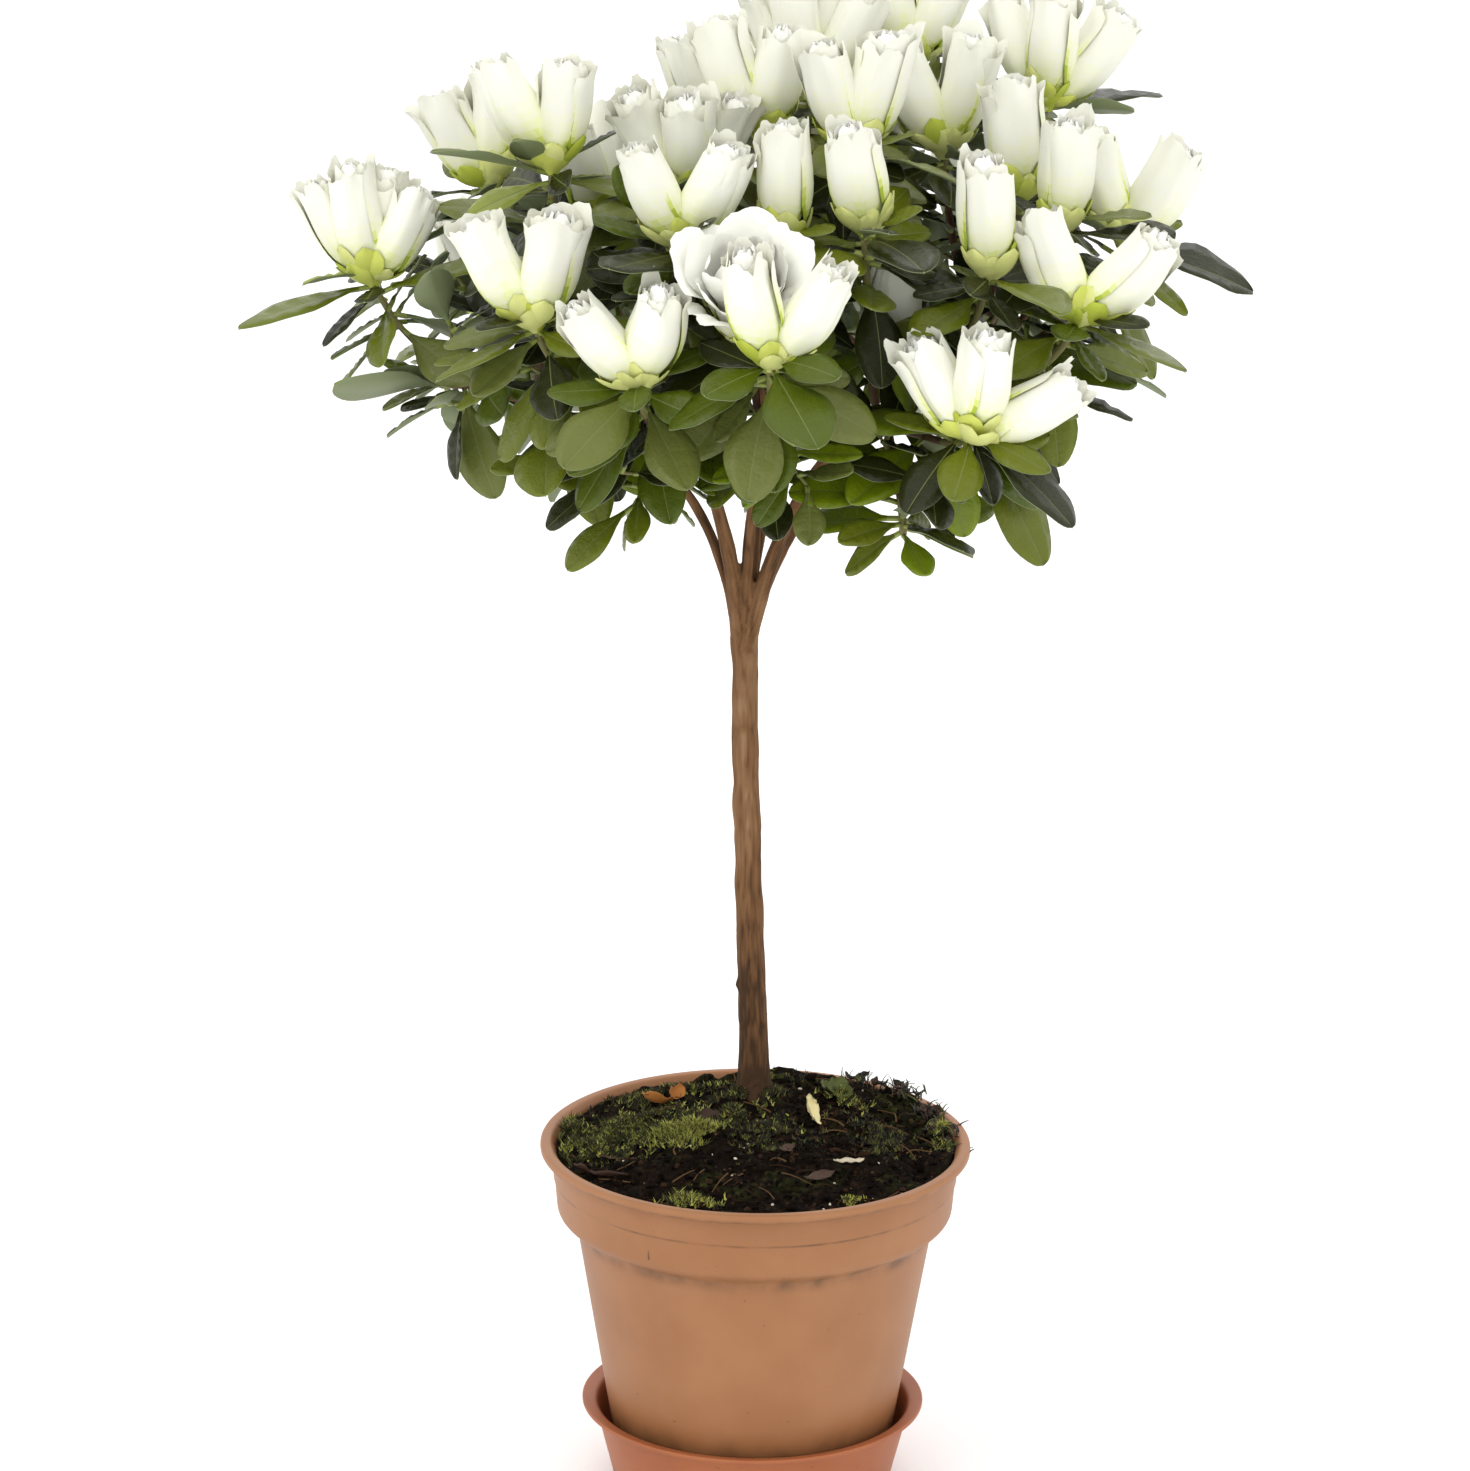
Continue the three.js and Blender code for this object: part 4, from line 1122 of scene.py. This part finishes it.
def add_spray(crowd, own, owner, spray, curve, random, inner):
    """Small leaves round the end of a twig, and whether any found room inside the crown's reach."""
    low, high = np.array(CAD_BOX) / MM
    added = False
    spacing = FINE.spacing if inner else FINE.tip_spacing
    first = FINE.first + FINE.first_more * (not inner)
    for m in range(FINE.leaves):
        leaf = dict(
            root=curve.at(1 - spacing * m / curve.length), axis=curve.tangent(1),
            turn=m * GOLDEN_TURN + 60 * random.uniform(),
            angle=mix(first, FINE.last, m / (FINE.leaves - 1)),
            length=FINE.leaf + FINE.leaf_more * random.uniform(),
            droop=random.uniform(0.05, 0.25), roll=random.uniform(-20, 20), inner=inner,
        )
        points = leaf_shape(leaf, 0)[0]
        if (points > low).all() and (points < high).all():
            added = add_leaf(crowd, own, owner, leaf, spray) or added
    return added


def add_fine_twigs(crowd, grown):
    for i, own in enumerate(grown):
        random = np.random.default_rng(SEEDS.fine + i)
        for k, twig in enumerate(own["twigs"]):
            for n, share in enumerate(FINE.starts):
                root = point_in(twig, share)
                axis = leaning(twig["curve"].tangent(share), root, n * GOLDEN_TURN + 90 * k, FINE.lean)
                length = FINE.length + FINE.more * random.uniform()
                end = root + unit(axis + FINE.rise * UP) * length
                curve = Curve(root, root + axis * length / 2, end)
                free = Curve(mix(root, end, FINE.clear / length), end)
                shape = tube_shape(tube(free, lambda _: FINE.radius, 3, 1))
                if crowd.touched(shape):
                    continue
                if add_spray(crowd, own, i, (k, n), curve, random, True):
                    own["fine"].append(curve)
                    crowd.add(shape, i)
            add_spray(crowd, own, i, k, twig["curve"], random, False)


def deal_tones(leaves, seed):
    """Deals the leaves' colours out by spray, with a few leaves that differ from theirs."""
    random = np.random.default_rng(seed)
    by_spray = {}
    for leaf in leaves:
        spray = leaf["spray"]
        if spray not in by_spray or random.random() < ODD_LEAVES:
            outer = LOW_SHARES if leaf["root"][2] < LOW_CROWN else OUTER_SHARES
            shares = INNER_SHARES if leaf.get("inner") else outer
            by_spray[spray] = random.choice(len(LEAF_TONES), p=shares)
        leaf["tone"] = by_spray[spray]


def add_twigs(piece, own, sides=9, steps=24, brown_steps=18):
    """The twigs, brown below and green at the tip, with uneven skins; the finest are green."""
    for k, twig in enumerate(own["twigs"]):
        rings = twig_rings(twig, own["mass"], k, sides, steps)
        centre = rings.mean(1, keepdims=True)
        rings = centre + (rings - centre) * (0.84 + 0.1 * noise(rings / 2.2, 9))[..., None]
        piece.add_tube(rings, np.repeat(np.arange(steps) >= brown_steps, sides))
    for curve in own["fine"]:
        piece.add_tube(tube(curve, lambda share: mix(0.75, 0.5, share), 6, 6), 1)


def make_crown():
    crowd, grown = grow_masses()
    add_fine_twigs(crowd, grown)
    leaf_looks = looks(LEAF_TONES, 0.36, (1.2, 0.26), 0.3) + looks(UNDER_TONES, 0.6, (0.5, 0.04))
    petal_looks = looks([each[1:] for each in PETALS] + SCALES, 0.55, (0.8, 0.05), 0.2)
    twig_looks = [
        material("twig_brown", (98, 70, 48), 0.8, (0.5, 0.1)),
        material("twig_green", (116, 112, 64), 0.7, (0.5, 0.06)),
    ]
    for i, own in enumerate(grown):
        name = own["mass"]["name"]
        deal_tones(own["leaves"], SEEDS.tones + i)
        leaves = Piece("leaves_" + name, leaf_looks)
        add_blades(leaves, own["leaves"], SEEDS.blades + i)
        leaves.made(["mass_" + name], "foliage")
        blooms = Piece("flowers_" + name, petal_looks)
        add_blooms(blooms, own, SEEDS.blooms + i)
        blooms.made(["mass_" + name])
        twigs = Piece("twigs_" + name, twig_looks)
        add_twigs(twigs, own)
        twigs.made(["mass_" + name], "bark")


# The trunk and the boughs: one skin, with bark that runs along each limb.
LIMBS = ["trunk"] + ["bough_" + mass["name"] for mass in MASSES]
BARK = Sizes(
    voxel=0.5, soften=4, groove=0.2, hair=0.12, fleck=0.12, swell=0.35, crumb=0.5, crumb_height=16,
    trunk=4.6, slender=4.5, thin=4,
)
KNOB = Sizes(place=[-6.6, 18.5, 164.0], size=2.0, height=1.5)
SCAR = Sizes(place=[-5.4, 15.2, 268.0], size=[2.2, 3, 2.6], height=0.7)


def trunk_rings(sides=64, steps=300):
    ups = np.linspace(0, TRUNK[-1, 0], steps)
    window = np.hanning(15) / np.hanning(15).sum()
    lean, radius, lobes = (
        np.convolve(np.pad(np.interp(ups, TRUNK[:, 0], values), 7, "edge"), window, "valid")
        for values in TRUNK.T[1:]
    )
    centres = joined(FOOT[0] - lean, FOOT[1], FOOT[2] + GAP + ups)
    radii = radius[:, None] * (1 + lobes[:, None] * np.cos(ROOT_LOBES * ring_of(sides)))
    return centres[:, None] + around(radii, ring_of(sides), 0.0), centres


def limb_skin():
    """The limbs as one mesh, and for points along them their place, two directions square to the
    limb, their distance from its foot and its radius."""
    rings, centres = trunk_rings()
    raw = Piece("limbs_raw", [])
    raw.add_tube(rings)
    lines = [(centres, np.full(len(centres), BARK.trunk))]
    for mass in MASSES:
        curve = bough_curve(mass)
        radius_at = lambda share: mass["radius"] * mix(1, BOUGH.tip_ratio, share)
        raw.add_tube(tube(curve, radius_at, 20, 40))
        shares = np.linspace(0, 1, 60)
        lines.append((curve.at(shares), radius_at(shares)))
    table = []
    for line, radii in lines:
        spans = np.linalg.norm(np.diff(line, axis=0), axis=1)
        lengths = np.concatenate([[0], np.cumsum(spans)])
        table.append(np.column_stack([line, *carried(unit(np.gradient(line, axis=0))), lengths, radii]))
    raw = raw.made()
    remesh = raw.modifiers.new("skin", "REMESH")
    remesh.mode = "VOXEL"
    remesh.voxel_size = BARK.voxel * MM
    smoothing = raw.modifiers.new("soften", "SMOOTH")
    smoothing.iterations = BARK.soften
    smoothing.factor = 0.6
    mesh = bpy.data.meshes.new_from_object(raw.evaluated_get(bpy.context.evaluated_depsgraph_get()))
    bpy.data.objects.remove(raw)
    return mesh, np.concatenate(table)


def bark_material():
    bark = material("bark", (122, 84, 56), 0.85, (0.35, 0.1), 0.25)
    value = add_node(bark, "Attribute", output="Fac", attribute_name="bark_tone_and_shade")
    stops = [(0.1, 60, 40, 22), (0.38, 108, 75, 46), (0.62, 129, 96, 66), (0.92, 162, 134, 104)]
    shade(bark, Base_Color=ramp(bark, value, *stops))
    return bark


def make_limbs():
    mesh, table = limb_skin()
    points = np.array([v.co for v in mesh.vertices]) / MM
    normals = np.array([v.normal for v in mesh.vertices])
    tree = KDTree(len(table))
    for k, row in enumerate(table):
        tree.insert(row[:3], k)
    tree.balance()
    nearest = table[[tree.find(p)[1] for p in points]]
    away, side_a, side_b = points - nearest[:, :3], nearest[:, 3:6], nearest[:, 6:9]
    square_parts = joined(np.sum(away * side_a, 1), np.sum(away * side_b, 1))
    along = nearest[:, 9] + np.sum(away * np.cross(side_a, side_b), 1)
    radius, height = nearest[:, 10], points[:, 2] - FOOT[2]

    def streaks(width, length, seed):
        return noise(np.column_stack([square_parts / width, along / length]), seed)

    def bump(spot):
        away = (points - spot.place) / spot.size
        return spot.height * np.exp(-np.sum(away**2, 1))

    groove = np.exp(-((streaks(1.5, 17, 21) / 0.16) ** 2))
    hair = np.exp(-((streaks(0.9, 11, 20) / 0.2) ** 2))
    fleck = streaks(0.9, 5, 22)
    crumbs = sum(noise(points / 1.6 * 2**k, 23 + k) / 2**k for k in range(3))
    crumbs = crumbs * np.clip(1 - height / BARK.crumb_height, 0, 1)
    out = BARK.fleck * fleck - BARK.groove * groove - BARK.hair * hair
    out = out + BARK.swell * noise(points / 9, 24)
    out = np.clip(radius / BARK.slender, 0.35, 1) * out + BARK.crumb * crumbs
    level = 0.56 - 0.13 * groove - 0.12 * hair + 0.12 * fleck - 0.2 * crumbs
    out = out + bump(KNOB) + bump(SCAR)
    points = points + normals * out[:, None]
    points[:, 2] = np.maximum(points[:, 2], FOOT[2] + GAP)
    level = level + 0.16 * noise(points / [3, 3, 22], 25) - 0.3 * smooth_step(85, 15, height)
    level = level - 0.2 * smooth_step(16, 5, height)
    # Painted shade: the thin boughs are darker where they run up into the crown.
    level = level - 0.12 * (radius < BARK.thin) * smooth_step(160, 185, height)
    mesh.vertices.foreach_set("co", (points * MM).ravel())
    attribute = mesh.attributes.new("bark_tone_and_shade", "FLOAT", "POINT")
    attribute.data.foreach_set("value", level.astype(np.float32))
    mesh.polygons.foreach_set("use_smooth", np.ones(len(mesh.polygons), bool))
    mesh.name = "limbs"
    placed("trunk_and_boughs", mesh, [bark_material()], LIMBS)


# The soil: a crumbly mound with loose crumbs, moss, chips and fallen leaves on it.
def soil_level(x, y):
    """The height of the mound, and the share of the way from the pot's wall to the trunk."""
    edge = SOIL_EDGE - GAP
    # Solve for the share at which the ring between the wall and the seat passes through the point.
    low, high = np.zeros_like(x), np.ones_like(x)
    for _ in range(18):
        share = (low + high) / 2
        inside = np.hypot(x - FOOT[0] * share, y - FOOT[1] * share) < mix(edge, SOIL.seat, share)
        low, high = np.where(inside, share, low), np.where(inside, high, share)
    return mix(RIM_Z - SOIL.edge_depth, FOOT[2], smooth_step(0, 1, low)), low


# The compost's lumps: height, size and seed.
LUMPS = [(1.5, 9, 31), (1.4, 4.2, 32), (0.8, 2, 33)]


def soil_surface(x, y):
    level, share = soil_level(x, y)
    at = joined(x, y, 0.0)
    lumps = sum(height * noise(at / size, seed) for height, size, seed in LUMPS)
    back = smooth_step(20, 62, x * 0.55 + y * 0.75)
    heap = SOIL.heap * np.exp(-((np.hypot(x - FOOT[0], y - FOOT[1]) / SOIL.heap_reach) ** 2))
    return level - 0.7 + lumps * (1 - 0.55 * smooth_step(0.75, 1, share)) + SOIL.back_heap * back + heap


def over_soil(x, y, over):
    return np.array([x, y, soil_surface(np.array([x], float), np.array([y], float))[0] + over])


def make_bed(segments=260, circles=84):
    angles = ring_of(segments)
    reach = (SOIL_EDGE - GAP) * np.linspace(1, 0.004, circles)
    x, y = np.moveaxis(around(reach[:, None], angles), -1, 0)
    wall = pot_inside(SOIL.bottom)
    radii = (wall - SOIL.bottom_ring, wall - GAP)
    skirt = [around(radius, angles, POT_Z + SOIL.bottom) for radius in radii]
    earth = material("earth", (24, 17, 12), 1.0, (0.7, 0.35), 0.05)
    fine = grain(earth, 2.4, 5)
    bare = ramp(earth, fine, (0.3, 10, 7, 5), (0.55, 24, 17, 12), (0.75, 46, 33, 23))
    mossy = ramp(earth, fine, (0.3, 12, 13, 6), (0.55, 34, 34, 16), (0.75, 66, 66, 34))
    patches = between(earth, grain(earth, 16, 4, 4.0), 0.5, 0.62)
    shade(earth, Base_Color=blended(earth, patches, bare, mossy))
    bed = Piece("soil_bed", [earth])
    bed.add_tube(np.concatenate([skirt, joined(x, y, soil_surface(x, y))]))
    bed.made(["soil"], "soil")


CRUMB_TONES = [
    ("crumb_black", 12, 8, 6), ("crumb_dark", 24, 17, 12), ("crumb_brown", 50, 35, 24),
    ("crumb_tan", 92, 70, 47), ("chip_white", 214, 206, 188),
]
CRUMB_SHARES = [0.42, 0.38, 0.16, 0.03, 0.01]
CRUMB = Sizes(
    count=2800, size=0.4, more=1.5, pale_size=0.6, stretch=(0.45, 1.35), lumpy=(0.55, 1.25),
    squash=0.8, fibres=130, fibre=(4, 12),
)
ICO_LONG = (1 + math.sqrt(5)) / 2
SIGNS = [(a, b) for a in (-1, 1) for b in (-1, 1)]
ICO_POINTS = unit(np.array(
    [[a, b * ICO_LONG, 0] for a, b in SIGNS] + [[0, a, b * ICO_LONG] for a, b in SIGNS]
    + [[b * ICO_LONG, 0, a] for a, b in SIGNS], float
))


def ico_faces():
    """The twenty faces: every three corners that are one edge apart."""
    edge = min(np.linalg.norm(ICO_POINTS[0] - p) for p in ICO_POINTS[1:]) * 1.01
    faces = []
    for a, b, c in combinations(range(12), 3):
        p, q, r = ICO_POINTS[[a, b, c]]
        if max(np.linalg.norm(side) for side in (p - q, q - r, p - r)) < edge:
            faces.append((a, b, c) if np.cross(q - p, r - p) @ (p + q + r) > 0 else (a, c, b))
    return np.array(faces)


def on_soil(random, count):
    """Random places on the soil, away from the trunk."""
    found = np.empty((0, 2))
    edge = SOIL_EDGE - SOIL.clear_of_wall
    while len(found) < count:
        angle, reach = random.uniform(0, TAU, count), edge * np.sqrt(random.uniform(0, 1, count))
        spots = around(reach, angle)
        found = np.vstack([found, spots[np.hypot(*(spots - FOOT[:2]).T) > SOIL.clear_of_trunk]])
    return found[:count]


def add_fibre(piece, random, line, thickness, thinner, sides, steps, slots):
    """A fibre whose thickness and slot are drawn from those given, thinner towards its end."""
    thick = random.uniform(*thickness)
    rings = tube(Curve(*line), lambda share: thick * (1 - thinner * share), sides, steps)
    piece.add_tube(rings, random.choice(slots))


def make_crumbs(random):
    """Grains of compost, and the fibres that lie between them."""
    crumbs = Piece("soil_crumbs", looks(CRUMB_TONES, 1.0, (0.4, 0.15), 0.05))
    count = CRUMB.count
    spots = on_soil(random, count)
    sizes = CRUMB.size + CRUMB.more * random.uniform(0, 1, count) ** 3
    places = joined(*spots.T, soil_surface(*spots.T) + 0.2 * sizes)
    slots = random.choice(5, count, p=CRUMB_SHARES)
    sizes = np.where(slots > 2, np.minimum(sizes, CRUMB.pale_size), sizes)
    stretch = random.uniform(*CRUMB.stretch, (count, 1, 3)) * [1, 1, CRUMB.squash]
    lumpy = random.uniform(*CRUMB.lumpy, (count, 12, 1))
    points = ICO_POINTS[None] * stretch * lumpy * sizes[:, None, None] + places[:, None]
    crumbs.add_each(points, ico_faces(), slots)
    for spot in on_soil(random, CRUMB.fibres):
        turn, length = random.uniform(0, TAU), random.uniform(*CRUMB.fibre)
        ends = np.array([spot, spot + around(1.0, turn) * length])
        ends = ends * np.minimum(1, SOIL.fibre_reach / np.hypot(*ends.T))[:, None]
        z = soil_surface(*ends.T) + random.uniform(0.3, 1.2, 2)
        first, last = joined(*ends.T, z)
        middle = ends.mean(0) + random.uniform(-1.5, 1.5, 2)
        middle = np.append(middle, z.mean() + random.uniform(0.3, 2))
        add_fibre(crumbs, random, (first, middle, last), (0.18, 0.4), 0.5, 5, 7, [1, 2, 3])
    crumbs.made(slot="soil", smooth=False)


MOSS = Sizes(blades=3, half=0.34)
MOSS_TONES = [
    ("moss_dark", 27, 29, 12), ("moss_olive", 92, 94, 38), ("moss_yellow", 182, 182, 88),
    ("moss_brown", 68, 53, 28),
]
CUSHIONS = [
    # middle, reach, blades, height, and how bright it is
    ((-42, 2), (22, 15), 6400, 1.6, 0.14), ((-24, -8), (10, 6), 3000, 2.6, 0.75),
    ((-52, -4), (9, 9), 1800, 2.0, 0.3), ((-21, -54), (7, 4), 600, 2.2, 0.55),
    ((33, -52), (5, 3), 340, 1.9, 0.5), ((62, 6), (4, 6), 500, 2.4, 0.7),
    ((-30, 40), (17, 10), 2400, 1.8, 0.14), ((6, 50), (12, 7), 900, 1.6, 0.1),
    ((-8, 8), (9, 12), 1700, 1.7, 0.08), ((26, 26), (8, 6), 700, 1.6, 0.25),
    ((4, -8), (14, 12), 900, 1.2, 0.0), ((40, 0), (14, 16), 900, 1.2, 0.0),
    ((-61, 4), (4, 15), 1500, 2.6, 0.2), (FOOT[:2], (7, 7), 1300, 1.8, 0.03),
]


def add_moss(piece, random, centre, reach, count, height, bright):
    """A cushion of moss: tiny leaning blades, thickest in its middle."""
    spots = centre + random.normal(0, 0.5, (count, 2)) * reach
    patchy = noise(joined(*spots.T / 3.6, 0.0), 35) > -0.12
    spots = spots[patchy & (np.hypot(*spots.T) < pot_inside(POT.height - 3) - 1)]
    count = len(spots)
    middle = np.exp(-np.sum(((spots - centre) / reach) ** 2, 1))
    swell = height * middle * (0.7 + 0.5 * noise(joined(*spots.T / 2.6, 0.0), 36))
    base = joined(*spots.T, soil_surface(*spots.T) + swell)
    shares = [0.58 - 0.5 * bright, 0.24 + 0.05 * bright, 0.02 + 0.55 * bright, 0.16 - 0.1 * bright]
    slots = random.choice(len(MOSS_TONES), count, p=shares)
    faces = np.array([[0, 1, 3], [1, 2, 3], [2, 0, 3], [0, 2, 1]])
    for _ in range(MOSS.blades):
        angle = random.uniform(0, TAU, count)
        foot = base + random.uniform(-0.6, 0.6, (count, 3)) * [1, 1, 0.4]
        tall = height * random.uniform(0.5, 1.2, count)
        lean = tall * random.uniform(0.2, 1.3, count)
        corners = [foot + around(MOSS.half, angle + turn, 0.0) for turn in ring_of(3)]
        corners.append(foot + around(lean, angle, tall))
        piece.add_each(np.stack(corners, 1), faces, slots)


def make_moss(random):
    moss = Piece("moss", looks(MOSS_TONES, 0.9, (0.4, 0.05)))
    for centre, reach, *more in CUSHIONS:
        add_moss(moss, random, np.array(centre), np.array(reach), *more)
    moss.made(slot="foliage", smooth=False)


LITTER_TONES = [
    ("dry_orange", 176, 112, 48), ("pale_yellow", 222, 208, 150), ("dead_brown", 70, 49, 36),
    ("leaf_scrap", 84, 92, 42), ("bark_chip", 200, 186, 160), ("scrap_dark", 46, 44, 34),
]
DEAD_BROWN = 2
SHEETS = [
    # x, y, height over the soil, turn, length, width, curl, tilt, slot, cup
    (-32, 23, 2.0, 2.9, 13, 8, 1.7, 0.5, 0, 0.5),
    (-27, 25, 3.0, 0.9, 9, 5, 2.2, 0.9, 0, 0.6),
    (18, 3, 4.5, 1.5, 14, 10, 1.0, 1.0, 1, 0.3),
    (26, 28, 3.0, 0.6, 10, 6, 2.0, 0.9, 3, 0.6),
    (30, 25, 2.4, 2.4, 8, 5, 2.2, -0.7, 3, 0.6),
    (23, 31, 2.6, 1.6, 8, 5, 1.8, 0.4, 3, 0.6),
    (-16, 3, 1.6, 0.4, 10, 4, 2.4, 0.6, 2, 0.9),
    (-50, -29, 1.2, 2.7, 20, 8, 0.8, 0.5, 2, 0.4),
    (30, -25, 1.4, 0.1, 10, 3, 0.3, 0.2, 4, 0.1),
    (10, -20, 1.2, 0.3, 6, 3, 1.4, 0.3, 2, 0.4),
    (20, -38, 1.0, 0.5, 12, 3, 1.2, 0.4, 2, 0.3),
    (-44, -16, 1.2, 3.0, 13, 3, 0.5, 0.2, 2, 0.3),
]
# Where dry scraps and fibres are heaped at the right: x, y and the height over the soil.
HEAPS = [(64, -2, 1.5), (61, 10, 1.6), (57, 24, 1.8), (51, 36, 2.2), (43, 46, 2.6), (33, 53, 2)]
HEAP = Sizes(scraps=4, fibres=26, slots=[2, 3, 5], shares=[0.3, 0.15, 0.55])
# The least and the greatest turn, tilt, curl, length and width of a scrap.
SCRAP_SPREADS = [(0, TAU), (-1.2, 1.2), (1.5, 3.4), (4, 8), (1.2, 2.8)]


def add_litter(piece, place, turn, length, width, curl, tilt, slot, cup, ragged, seed):
    """A fallen leaf or scrap: a thin curled sheet with two faces."""
    rows, columns = 15, 7
    share = np.linspace(0, 1, rows)[:, None]
    side = np.linspace(-1, 1, columns)[None]
    key = joined(side * 2, share * 5, float(seed))
    half = width / 2 * np.sin(np.pi * np.clip(share, 0.02, 0.985) ** 1.15) ** 0.8
    half = half * (1 + ragged * noise(key, 41))
    bend = curl * (share - 0.5)
    along = length * np.sin(bend) / curl * np.ones_like(side)
    rise = length * (1 - np.cos(bend)) / curl + cup * side**2 * half + 0.5 * noise(key * 1.4, 42)
    across, rise = turned(side * half, rise, tilt)
    top = place + joined(*turned(along, across, turn), rise)
    rings = np.concatenate([top, (top - [0, 0, 0.3])[:, ::-1]], axis=1)
    caps = np.array([[j, 2 * columns - 1 - j, 2 * columns - 2 - j, j + 1] for j in range(columns - 1)])
    piece.add(rings, capped(rows, 2 * columns, caps), slot)


def make_litter():
    """Fallen leaves, scraps and chips on the soil."""
    litter = Piece("litter", looks(LITTER_TONES, 0.75, (0.8, 0.12)))
    for k, (x, y, over, *shape, slot, cup) in enumerate(SHEETS):
        ragged = 0.7 if slot == DEAD_BROWN else 0.35
        add_litter(litter, over_soil(x, y, over), *shape, slot, cup, ragged, k)
    random = np.random.default_rng(SEEDS.litter)
    for x, y, over in HEAPS:
        for _ in range(HEAP.scraps):
            place = over_soil(x, y, over) + random.uniform(-1, 1, 3) * [4, 4, 1.2]
            turn, tilt, curl, length, width = (random.uniform(*limits) for limits in SCRAP_SPREADS)
            slot = random.choice(HEAP.slots, p=HEAP.shares)
            add_litter(litter, place, turn, length, width, curl, tilt, slot, 0.6, 0.8, place[0])
        for _ in range(HEAP.fibres):
            root = over_soil(x, y, 0) + random.uniform(-1, 1, 3) * [6, 6, 0.5]
            rise = random.uniform([-4, -4, 0.5], [4, 4, 4.5])
            middle = root + rise * [0.2, 0.2, 1.1] + random.uniform(-1, 1, 3)
            line = (root, middle, root + rise)
            add_fibre(litter, random, line, (0.15, 0.4), 0.6, 4, 5, [2, 3, 5, 5])
    litter.made(slot="foliage")


set_camera()
set_studio()
make_pot()
make_saucer()
make_bed()
compost_random = np.random.default_rng(SEEDS.compost)
make_crumbs(compost_random)
make_moss(compost_random)
make_litter()
make_limbs()
make_crown()
